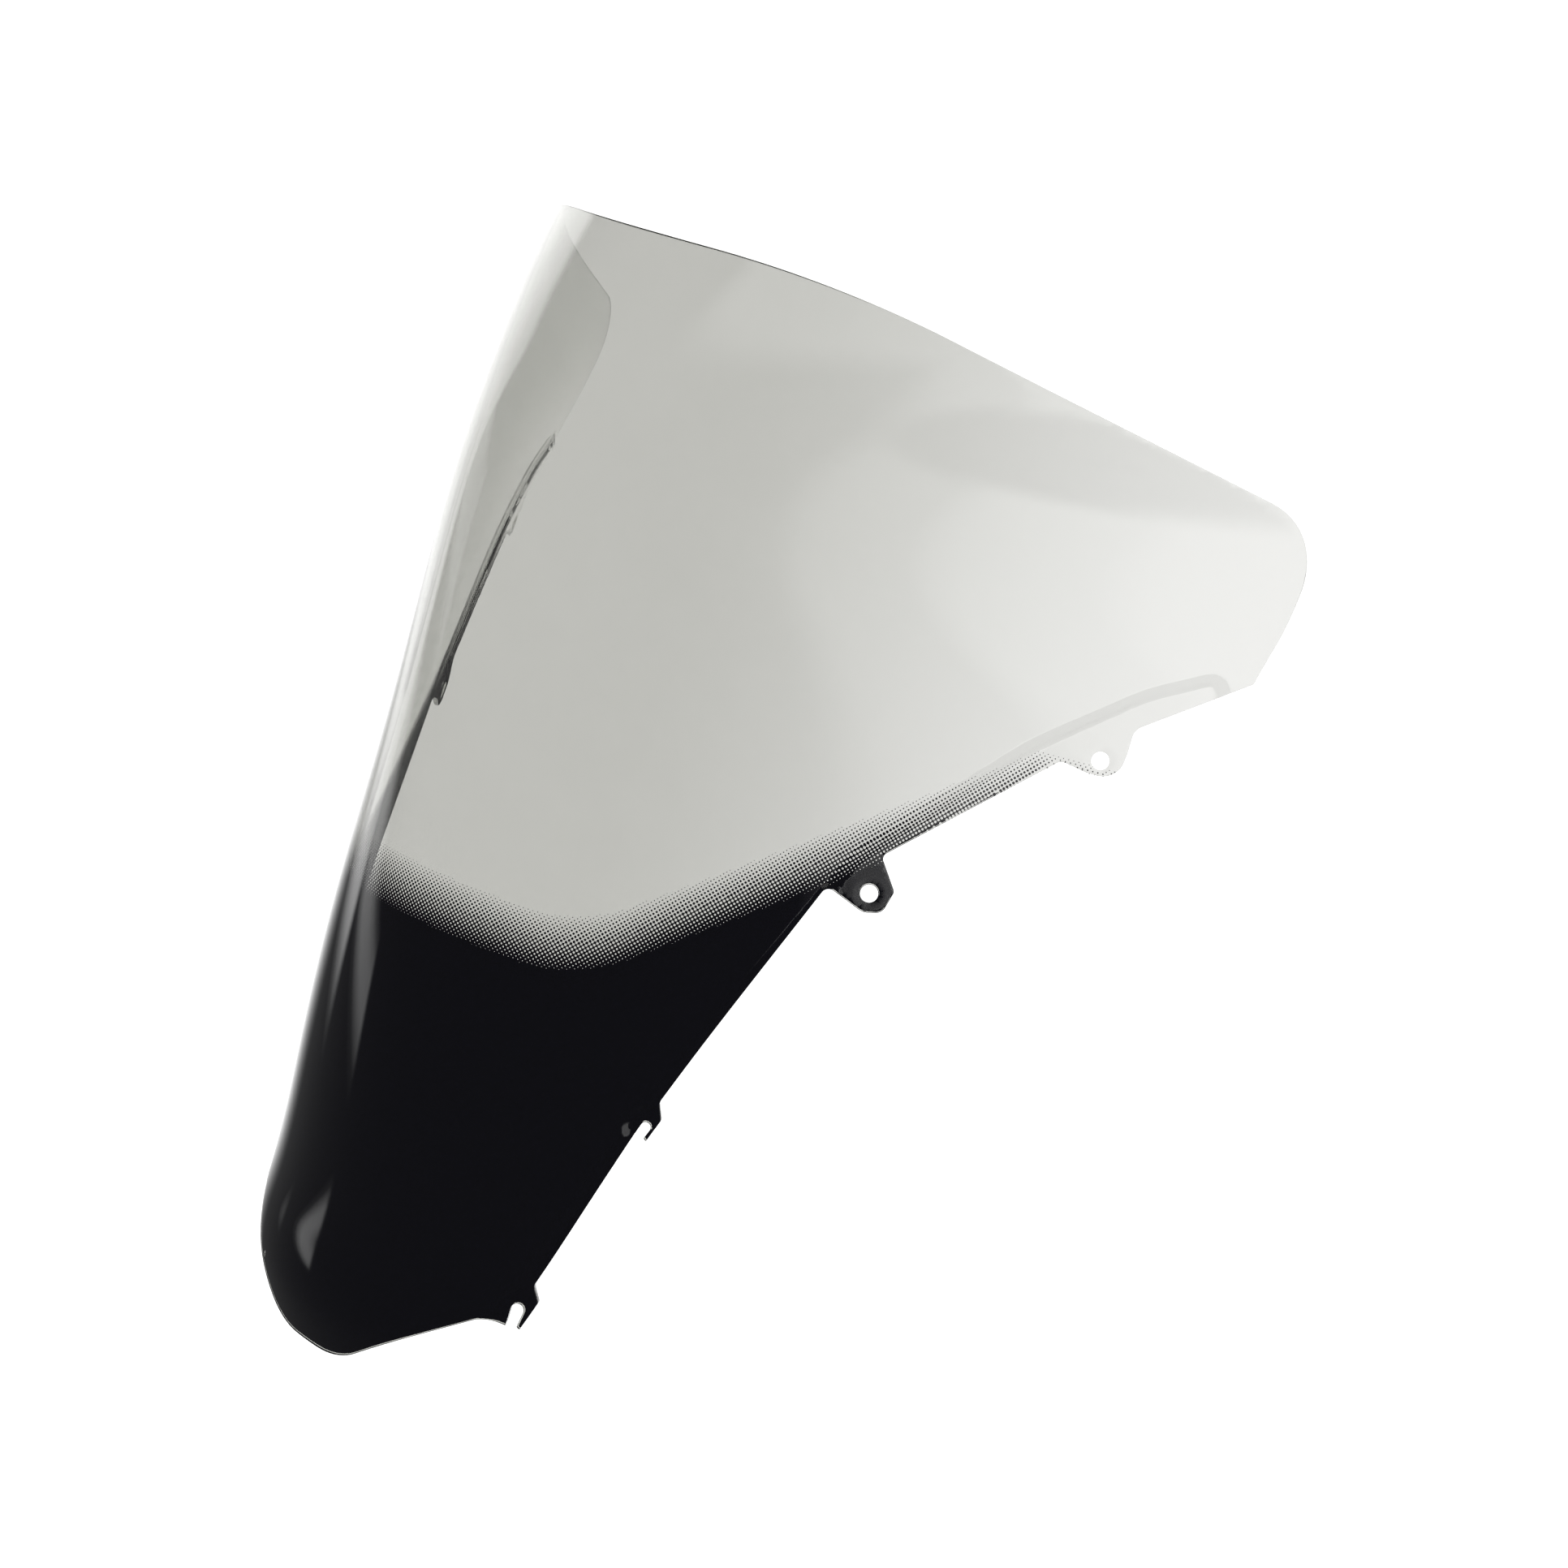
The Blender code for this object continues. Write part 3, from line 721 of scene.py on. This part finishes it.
# %% A tree that stamps a disc on every point
def dot_tree(material):
    tree = bpy.data.node_groups.new("halftone_dots", "GeometryNodeTree")
    tree.interface.new_socket("Geometry", in_out="INPUT", socket_type="NodeSocketGeometry")
    sides = tree.interface.new_socket("Sides", in_out="INPUT", socket_type="NodeSocketInt")
    growth = tree.interface.new_socket("Growth", in_out="INPUT", socket_type="NodeSocketFloat")
    tree.interface.new_socket("Geometry", in_out="OUTPUT", socket_type="NodeSocketGeometry")
    nodes, links = tree.nodes, tree.links
    came, goes = nodes.new("NodeGroupInput"), nodes.new("NodeGroupOutput")
    disc = nodes.new("GeometryNodeMeshCircle")
    disc.fill_type = "NGON"
    disc.inputs["Radius"].default_value = 1.0
    radius = nodes.new("GeometryNodeInputNamedAttribute")
    radius.data_type = "FLOAT"
    radius.inputs["Name"].default_value = "dot_radius"
    grown = nodes.new("ShaderNodeMath")
    grown.operation = "MULTIPLY"
    stamp = nodes.new("GeometryNodeInstanceOnPoints")
    real = nodes.new("GeometryNodeRealizeInstances")
    inked = nodes.new("GeometryNodeSetMaterial")
    inked.inputs["Material"].default_value = material
    links.new(came.outputs["Sides"], disc.inputs["Vertices"])
    links.new(radius.outputs["Attribute"], grown.inputs[0])
    links.new(came.outputs["Growth"], grown.inputs[1])
    links.new(came.outputs["Geometry"], stamp.inputs["Points"])
    links.new(disc.outputs["Mesh"], stamp.inputs["Instance"])
    links.new(grown.outputs["Value"], stamp.inputs["Scale"])
    links.new(stamp.outputs["Instances"], real.inputs["Geometry"])
    links.new(real.outputs["Geometry"], inked.inputs["Geometry"])
    links.new(inked.outputs["Geometry"], goes.inputs["Geometry"])
    return tree, {"Sides": sides.identifier, "Growth": growth.identifier}


ink = bpy.data.materials.new("black_screen_ink")
tree, socket = dot_tree(ink)
print("tree inputs:", socket)

# %% Stamp the dots
film_data = bpy.data.meshes.new("printers_film")
film_data.from_pydata([(s * MM, t * MM, 0.0) for s, t in dots], [], [])
radii = film_data.attributes.new("dot_radius", "FLOAT", "POINT")
radii.data.foreach_set("value", (dot_radius * MM).astype(np.float32))
film = bpy.data.objects.new("printers_film", film_data)
bpy.context.scene.collection.objects.link(film)
stamping = film.modifiers.new("stamp_dots", "NODES")
stamping.node_group = tree
stamping[socket["Sides"]] = DOT_SIDES
stamping[socket["Growth"]] = 1.0
baked(film)
dot_flat = np.array([vertex.co[:2] for vertex in film.data.vertices]) / MM
dot_faces = [list(face.vertices) for face in film.data.polygons]
bpy.data.objects.remove(film)
print("stamped dots:", len(dot_faces), "with", len(dot_flat), "corners")

# %% [markdown]
# ## The solid print and its clear holes
#
# Below the fade's middle the ink is one film with holes in it. The same triangulation takes the
# trimmed edge, the fade's middle line and every clear hole as drawn edges, and the triangles in
# the holes and above the line are left out.

# %% Fill the printed film
FILM_STEP = 4.2
FILM_MARGIN = 0.4  # the ink stops just short of the rounded edge
FADE_STEP = 0.75


def rings_round(places, radius):
    """Eight-sided rings round many places, as one array of rings."""
    angle = np.arange(DOT_SIDES) * 2 * math.pi / DOT_SIDES
    ring = np.column_stack([np.cos(angle), np.sin(angle)])
    return places[:, None] + radius[:, None, None] * ring


film_loops = [inset(loop, FILM_MARGIN, side) for loop, side in trims]
gap_rings = rings_round(gaps, gap_radius)
film_line = stepped(fade_line, FADE_STEP)
drawn = np.vstack([*film_loops, gap_rings.reshape(-1, 2), gaps])
film_inner = inner_points(FILM_STEP, drawn)
film_inner = film_inner[on_sheet(film_inner, film_loops) & (cover(film_inner) > LAST_HOLE)]
film_flat, film_faces = filled([*film_loops, *gap_rings], [film_line], film_inner)
middle = film_flat[film_faces].mean(axis=1)
printed = on_sheet(middle, film_loops) & (area(film_flat, film_faces) > SLIVER)
printed &= middle[:, 1] < np.interp(middle[:, 0], film_line[:, 0], film_line[:, 1])
printed &= np.abs(middle[:, 0]) < PRINT_END
print("film before its holes are left out:", printed.sum(), "triangles")

# %% [markdown]
# ## Leaving the holes clear
#
# There are thousands of holes and many more triangles, so each triangle is only tried against the
# nine holes nearest to it. The lattice gives every hole a row and a column, which find it at once.

# %% Leave out the triangles inside the clear holes
HOLE_SLACK = 0.1  # how far below the first hole's cover a triangle may lie and still be tried
APOTHEM = math.cos(math.pi / DOT_SIDES)
side_angles = (np.arange(DOT_SIDES) + 0.5) * 2 * math.pi / DOT_SIDES
side_normals = np.array([[math.cos(angle), math.sin(angle)] for angle in side_angles])


def lattice_place(s, t):
    return round(s / COLUMN_STEP * 2), round(t / ROW_STEP)


hole_at = {lattice_place(s, t): (s, t, radius) for (s, t), radius in zip(gaps, gap_radius)}


def in_clear_hole(s, t):
    """Whether a flat place is inside one of the nine holes nearest to it."""
    column, row = lattice_place(s, t)
    for place in ((column + a, row + b) for a in (-1, 0, 1) for b in (-1, 0, 1)):
        if place in hole_at:
            x, y, radius = hole_at[place]
            if (side_normals @ np.array([s - x, t - y])).max() < radius * APOTHEM:
                return True
    return False


for i in np.flatnonzero(printed & (cover(middle) > FIRST_HOLE - HOLE_SLACK)):
    printed[i] = not in_clear_hole(*middle[i])
film_faces = film_faces[printed]
print("printed film:", len(film_faces), "triangles")

# %% [markdown]
# ## Ink on the inner face
#
# Real ink is bonded to the acrylic, so there is no air between them. The film here starts just
# inside the sheet and ends just outside it. Light that comes in through the sheet meets the ink
# without a second reflection, and from behind the ink's own satin face shows.

# %% Lay the film and the dots on the formed sheet
INK_FRONT = 2.94  # depths below the outer face
INK_BACK = 3.06
INK_CREASE = math.radians(40)
BONDED, BACK = 0, 1  # material slots of the side on the sheet and of the rest


def ink_body(name, flat_points, polygons):
    """A thin closed body of ink from flat polygons."""
    used = sorted({i for polygon in polygons for i in polygon})
    order = {old: new for new, old in enumerate(used)}
    mesh = bmesh.new()
    near = vertices_at(mesh, laid(flat_points[used], INK_FRONT))
    far = vertices_at(mesh, laid(flat_points[used], INK_BACK))
    sides = set()
    for polygon in polygons:
        corners = [order[int(i)] for i in polygon]
        mesh.faces.new([near[i] for i in corners]).material_index = BONDED
        mesh.faces.new([far[i] for i in reversed(corners)]).material_index = BACK
        sides.update(zip(corners, corners[1:] + corners[:1]))
    for a, b in sorted(side for side in sides if side[::-1] not in sides):
        mesh.faces.new((near[b], near[a], far[a], far[b])).material_index = BACK
    bmesh.ops.triangulate(mesh, faces=[face for face in mesh.faces if len(face.verts) > 3])
    bmesh.ops.recalc_face_normals(mesh, faces=mesh.faces)
    thing = as_object(name, mesh)
    print(name, "has", len(thing.data.polygons), "triangles")
    return thing


mask = ink_body("print_solid", film_flat, film_faces.tolist())
mask.data.shade_smooth()
mask.data.set_sharp_from_angle(angle=INK_CREASE)
fade = ink_body("print_fade_dots", dot_flat, dot_faces)

# %% [markdown]
# ## Wear and making marks
#
# Cast acrylic is never quite perfect. A slow ripple left by the form bends reflections a little,
# and handling leaves faint, fine hazing. Both are the same on the sheet, its cut edge and its ink,
# only stronger or weaker, so they are one node group that gives a mask and a height.

# %% A node group for ripple and haze
def making_marks():
    group = bpy.data.node_groups.new("making_marks", "ShaderNodeTree")
    inputs = (("Ripple Scale", 9.0), ("Haze Scale", 60.0), ("Haze From", 0.0), ("Haze To", 0.1))
    for name, value in inputs:
        made = group.interface.new_socket(name, in_out="INPUT", socket_type="NodeSocketFloat")
        made.default_value = value
    group.interface.new_socket("Height", in_out="OUTPUT", socket_type="NodeSocketFloat")
    group.interface.new_socket("Haze", in_out="OUTPUT", socket_type="NodeSocketFloat")
    group.interface.new_socket("Mask", in_out="OUTPUT", socket_type="NodeSocketFloat")
    nodes, links = group.nodes, group.links
    came, goes = nodes.new("NodeGroupInput"), nodes.new("NodeGroupOutput")
    place = nodes.new("ShaderNodeTexCoord")
    ripple, haze = nodes.new("ShaderNodeTexNoise"), nodes.new("ShaderNodeTexNoise")
    ripple.inputs["Detail"].default_value = 1.0
    haze.inputs["Detail"].default_value = 5.0
    haze.inputs["Roughness"].default_value = 0.65
    span = nodes.new("ShaderNodeMapRange")
    span.inputs["From Min"].default_value = 0.35
    span.inputs["From Max"].default_value = 0.75
    links.new(place.outputs["Object"], ripple.inputs["Vector"])
    links.new(place.outputs["Object"], haze.inputs["Vector"])
    links.new(came.outputs["Ripple Scale"], ripple.inputs["Scale"])
    links.new(came.outputs["Haze Scale"], haze.inputs["Scale"])
    links.new(haze.outputs["Fac"], span.inputs["Value"])
    links.new(came.outputs["Haze From"], span.inputs["To Min"])
    links.new(came.outputs["Haze To"], span.inputs["To Max"])
    links.new(ripple.outputs["Fac"], goes.inputs["Height"])
    links.new(span.outputs["Result"], goes.inputs["Haze"])
    links.new(haze.outputs["Fac"], goes.inputs["Mask"])
    return group


marks = making_marks()
print("group outputs:", [item.name for item in marks.interface.items_tree if item.in_out == "OUTPUT"])

# %% [markdown]
# ## One recipe for four finishes
#
# The sheet, its cut edge and the two sides of the ink differ in their numbers only. Each takes its
# roughness and its slight unevenness from the making marks, and drifts between two near shades.

# %% A recipe for a finish
def finish_of(material, shades, haze, ripple_scale, haze_scale, ripple):
    """Gives a material the making marks and two shades between which its colour drifts."""
    material.use_nodes = True
    nodes, links = material.node_tree.nodes, material.node_tree.links
    shader = nodes["Principled BSDF"]
    mark = nodes.new("ShaderNodeGroup")
    mark.node_tree = marks
    for name, value in (("Ripple Scale", ripple_scale), ("Haze Scale", haze_scale),
                        ("Haze From", haze[0]), ("Haze To", haze[1])):
        mark.inputs[name].default_value = value
    shade = nodes.new("ShaderNodeMix")
    shade.data_type = "RGBA"
    shade.inputs["A"].default_value = (*shades[0], 1.0)
    shade.inputs["B"].default_value = (*shades[1], 1.0)
    bump = nodes.new("ShaderNodeBump")
    bump.inputs["Strength"].default_value = ripple
    bump.inputs["Distance"].default_value = MM
    links.new(mark.outputs["Mask"], shade.inputs["Factor"])
    links.new(shade.outputs["Result"], shader.inputs["Base Color"])
    links.new(mark.outputs["Haze"], shader.inputs["Roughness"])
    links.new(mark.outputs["Height"], bump.inputs["Height"])
    links.new(bump.outputs["Normal"], shader.inputs["Normal"])
    print(material.name, "from", shades[0], "to", shades[1])
    return shader


# %% [markdown]
# ## Smoked acrylic
#
# The clear part is lightly tinted with a warm grey. Acrylic bends light a little less than glass does, with
# an index of 1.49. The tint is in the colour of a fully transmissive shader, so that two layers, as where
# one wing is seen through the other, come out darker than one. Towards the wings, which look nearly clear,
# the tint is painted lighter with the distance from the centre plane. This is painted light, standing in for
# the brighter light that comes through the wings.

# %% Smoked acrylic
ACRYLIC_INDEX = 1.49
# Painted light: the tint is made lighter towards the wings, standing in for the brighter light seen through
# them.
PAINTED_LIGHT_SPAN = (0.07, 0.24)  # m from the centre plane: where the painted lightening of the tint starts, and where it is full
WING_TINT_PAINTED_LIGHT = (0.57, 0.57, 0.555)
acrylic = bpy.data.materials.new("smoked_acrylic")
shader = finish_of(acrylic, ((0.375, 0.376, 0.352), (0.392, 0.393, 0.369)), haze=(0.0, 0.02),
                   ripple_scale=7.0, haze_scale=45.0, ripple=0.02)
shader.inputs["IOR"].default_value = ACRYLIC_INDEX
shader.inputs["Transmission Weight"].default_value = 1.0
nodes, links = acrylic.node_tree.nodes, acrylic.node_tree.links
place, parts = nodes.new("ShaderNodeTexCoord"), nodes.new("ShaderNodeSeparateXYZ")
outwards, painted_light_share = nodes.new("ShaderNodeMath"), nodes.new("ShaderNodeMapRange")
outwards.operation = "ABSOLUTE"
painted_light_share.interpolation_type = "SMOOTHSTEP"
painted_light_share.inputs["From Min"].default_value = PAINTED_LIGHT_SPAN[0]
painted_light_share.inputs["From Max"].default_value = PAINTED_LIGHT_SPAN[1]
# Painted light: mixes the tint towards the lighter wing colour with the distance from the centre plane.
tint_with_painted_light = nodes.new("ShaderNodeMix")
tint_with_painted_light.data_type = "RGBA"
tint_with_painted_light.inputs["B"].default_value = (*WING_TINT_PAINTED_LIGHT, 1.0)
tint_link = shader.inputs["Base Color"].links[0]
links.new(tint_link.from_socket, tint_with_painted_light.inputs["A"])
links.new(place.outputs["Object"], parts.inputs["Vector"])
links.new(parts.outputs["X"], outwards.inputs[0])
links.new(outwards.outputs["Value"], painted_light_share.inputs["Value"])
links.new(painted_light_share.outputs["Result"], tint_with_painted_light.inputs["Factor"])
links.new(tint_with_painted_light.outputs["Result"], shader.inputs["Base Color"])

# %% [markdown]
# ## Cut edge and ink
#
# A router leaves a fine grain of tool marks, so the cut edge is rougher and less clear than the
# faces. The ink is nearly black. The side on the sheet gets no reflection of its own, because no air
# lies between, and the side that faces the rider has a soft satin one.

# %% Cut edge and both sides of the ink
cut_edge = bpy.data.materials.new("routed_edge")
shader = finish_of(cut_edge, ((0.36, 0.37, 0.36), (0.50, 0.51, 0.50)), haze=(0.25, 0.45),
                   ripple_scale=40.0, haze_scale=400.0, ripple=0.2)
shader.inputs["IOR"].default_value = ACRYLIC_INDEX
shader.inputs["Transmission Weight"].default_value = 0.6

shader = finish_of(ink, ((0.0014, 0.0014, 0.0030), (0.0024, 0.0023, 0.0044)), haze=(0.5, 0.6),
                   ripple_scale=25.0, haze_scale=700.0, ripple=0.0)
shader.inputs["Specular IOR Level"].default_value = 0.0

ink_back = bpy.data.materials.new("ink_from_behind")
shader = finish_of(ink_back, ((0.008, 0.008, 0.010), (0.014, 0.014, 0.017)), haze=(0.30, 0.46),
                   ripple_scale=25.0, haze_scale=700.0, ripple=0.15)
shader.inputs["Specular IOR Level"].default_value = 0.35

# %% Put the finishes on the pieces
for piece, finishes in ((sheet, (acrylic, cut_edge)), (mask, (ink, ink_back)), (fade, (ink, ink_back))):
    piece.data.materials.clear()
    for finish in finishes:
        piece.data.materials.append(finish)
    print(piece.name, "wears", [finish.name for finish in finishes])

# %% [markdown]
# ## Riding on the frame
#
# The screen has no moving parts, so every piece rides on the one body. The fine sheet stands for
# the plain solid, and the film and its dots stand for the plain mask.

# %% Ride on the body and hide the plain parts
for piece, node, slot in (
    (sheet, "screen_panel", "smoke_acrylic"),
    (mask, "printed_mask", "black_print"),
    (fade, "printed_mask", "black_print"),
):
    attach(piece, "root")
    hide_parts(node)

# %% [markdown]
# ## Studio
#
# A clear sheet is mostly seen by what is behind it and what it mirrors. The floor and the backdrop
# are pale. What the sheet mirrors is dim, so that the print stays black, apart from the soft boxes
# that are added below. One Light Path node in the world tells the two apart.

# %% Floor
FLOOR_REACH = 14.0
FLOOR_LEVEL = -0.001
corners = [(-1, -1), (1, -1), (1, 1), (-1, 1)]
floor_mesh = bmesh.new()
floor_mesh.faces.new([
    floor_mesh.verts.new((x * FLOOR_REACH, y * FLOOR_REACH, FLOOR_LEVEL)) for x, y in corners
])
floor = as_object("studio_floor", floor_mesh)
paper = bpy.data.materials.new("pale_paper")
paper.use_nodes = True
paper_shader = paper.node_tree.nodes["Principled BSDF"]
paper_shader.inputs["Base Color"].default_value = (0.86, 0.86, 0.86, 1.0)
paper_shader.inputs["Roughness"].default_value = 0.9
paper_shader.inputs["Specular IOR Level"].default_value = 0.0
floor.data.materials.append(paper)
floor.visible_glossy = False
print("floor reaches, m:", FLOOR_REACH)

# %% Room
ROOM_BEHIND = 1.6  # lights the floor and shows through the sheet
ROOM_MIRRORED = 0.09  # what the sheet mirrors where no soft box is
world = bpy.data.worlds.new("studio_room")
bpy.context.scene.world = world
world.use_nodes = True
nodes, links = world.node_tree.nodes, world.node_tree.links
background = nodes["Background"]
path = nodes.new("ShaderNodeLightPath")
onward = nodes.new("ShaderNodeMath")
onward.operation = "SUBTRACT"
onward.use_clamp = True
brightness = nodes.new("ShaderNodeMapRange")
brightness.inputs["To Min"].default_value = ROOM_BEHIND
brightness.inputs["To Max"].default_value = ROOM_MIRRORED
links.new(path.outputs["Is Glossy Ray"], onward.inputs[0])
links.new(path.outputs["Is Transmission Ray"], onward.inputs[1])
links.new(onward.outputs["Value"], brightness.inputs["Value"])
links.new(brightness.outputs["Result"], background.inputs["Strength"])
background.inputs["Color"].default_value = (1.0, 1.0, 1.0, 1.0)
print("room brightness behind and mirrored:", ROOM_BEHIND, ROOM_MIRRORED)

# %% [markdown]
# ## Soft boxes
#
# Soft boxes in a real studio are seen in the sheet as bright shapes with soft rims. Here they are
# drawn on the inside of one large shell round the screen, as a brightness for each direction. The
# shell is seen only in reflections, so the floor keeps its even light.

# %% Soft boxes as a brightness for each direction
# Each box: azimuth from and to, elevation from and to, width of the soft rim, all in degrees, and
# brightness. The first three are to the rider's right and the rest to the left.
SOFT_BOXES = [
    (-200.0, -77.0, -14.0, 24.0, 6.0, 1.6),
    (-78.0, -52.0, 2.0, 14.0, 5.0, 0.9),
    (-84.0, -45.0, -9.0, -4.5, 3.0, 1.2),
    (48.0, 130.0, 8.0, 46.0, 4.0, 1.3),
    (54.0, 130.0, 7.0, 46.0, 4.0, 2.3),
    (60.0, 130.0, 6.0, 46.0, 6.0, 2.8),
]
# The pale backdrop behind the screen: azimuth where it starts and where it is full, brightness
REAR_GLOW = (-92.0, -125.0, 1.8)
# A pale ceiling: elevation straight ahead, its fall per degree of azimuth, soft rim, brightness
CEILING = (53.0, 0.8, 10.0, 1.3)
CEILING_FROM = -40.0  # azimuth where the ceiling starts


def box_share(value, low, high, rim):
    return ease((value - low) / rim + 0.5) * ease((high - value) / rim + 0.5)


def brightness_at(azimuth, elevation):
    """How bright the studio looks in a direction from the screen."""
    start, full, strength = REAR_GLOW
    glow = strength * ease((start - azimuth) / (start - full))
    height, fall, soft, strength = CEILING
    if azimuth > CEILING_FROM:
        glow = max(glow, strength * ease((elevation - height + fall * azimuth) / soft))
    for west, east, under, over, rim, bright in SOFT_BOXES:
        share = box_share(azimuth, west, east, rim) * box_share(elevation, under, over, rim)
        glow = max(glow, bright * share)
    return glow


print("soft boxes:", len(SOFT_BOXES), " brightness beyond the left wing:", round(brightness_at(80, 20), 2))

# %% [markdown]
# ## The shell
#
# The shell is a part of a large ball round the screen, with a corner for every degree. Each corner
# stores its brightness in an attribute, which the shell's emission reads.

# %% Shell
SHELL_RADIUS = 3.0
SHELL_CENTRE = Vector((0.0, 0.0, 0.22))
SHELL_STEP = 1.0
azimuths = np.arange(-180.0, 121.0, SHELL_STEP)
elevations = np.arange(-65.0, 66.0, SHELL_STEP)
shell_mesh = bmesh.new()
glow_layer = shell_mesh.verts.layers.float.new("glow")
shell_rows = []
for elevation in elevations:
    row = []
    for azimuth in azimuths:
        a, e = math.radians(azimuth), math.radians(elevation)
        place = Vector((math.sin(a) * math.cos(e), -math.cos(a) * math.cos(e), math.sin(e)))
        vertex = shell_mesh.verts.new(place * SHELL_RADIUS + SHELL_CENTRE)
        vertex[glow_layer] = float(brightness_at(azimuth, elevation))
        row.append(vertex)
    shell_rows.append(row)
for lower, upper in zip(shell_rows[:-1], shell_rows[1:]):
    for i in range(len(lower) - 1):
        shell_mesh.faces.new((lower[i], upper[i], upper[i + 1], lower[i + 1]))
shell = as_object("studio_soft_boxes", shell_mesh)
print("shell:", len(shell.data.polygons), "faces")

# %% Light the shell
lit = bpy.data.materials.new("soft_box_cloth")
lit.use_nodes = True
nodes, links = lit.node_tree.nodes, lit.node_tree.links
nodes.remove(nodes["Principled BSDF"])
glow = nodes.new("ShaderNodeAttribute")
glow.attribute_name = "glow"
cloth = nodes.new("ShaderNodeEmission")
room = nodes.new("ShaderNodeMath")
room.operation = "ADD"
room.inputs[1].default_value = ROOM_MIRRORED
links.new(glow.outputs["Fac"], room.inputs[0])
links.new(room.outputs["Value"], cloth.inputs["Strength"])
links.new(cloth.outputs["Emission"], nodes["Material Output"].inputs["Surface"])
shell.data.materials.append(lit)
for ray in ("visible_camera", "visible_diffuse", "visible_transmission", "visible_shadow"):
    setattr(shell, ray, False)
# The floor and the backdrop are one blown-out white, so the screen leaves no shade on them.
for piece in (sheet, mask, fade):
    piece.visible_shadow = False
    piece.visible_diffuse = False
print("shell is seen by reflections only")

# %% [markdown]
# ## Camera
#
# The camera stands ahead of the motorcycle and to the rider's left, a little above the screen, with
# a long lens, so that the sweep of the wing is seen without much perspective.

# %% Camera
CAMERA_PLACE = (1.20466, -0.88833, 0.80213)
CAMERA_RIGHT = (0.6313, 0.7755, 0.0006)
CAMERA_UP = (-0.2849, 0.2313, 0.9303)
CAMERA_BACK = (0.7213, -0.5875, 0.3669)
camera_data = bpy.data.cameras.new("camera")
camera_data.lens = 85.45
camera_data.sensor_width = 36.0
camera = bpy.data.objects.new("camera", camera_data)
turn = Matrix((CAMERA_RIGHT, CAMERA_UP, CAMERA_BACK)).transposed()
camera.matrix_world = Matrix.Translation(CAMERA_PLACE) @ turn.to_4x4()
bpy.context.scene.collection.objects.link(camera)
bpy.context.scene.camera = camera
bpy.context.scene.view_settings.view_transform = "Standard"
print("camera lens, mm:", camera_data.lens)

# %% [markdown]
# ## A last update
#
# The view layer is brought up to date.

# %% Update the view layer
bpy.context.view_layer.update()
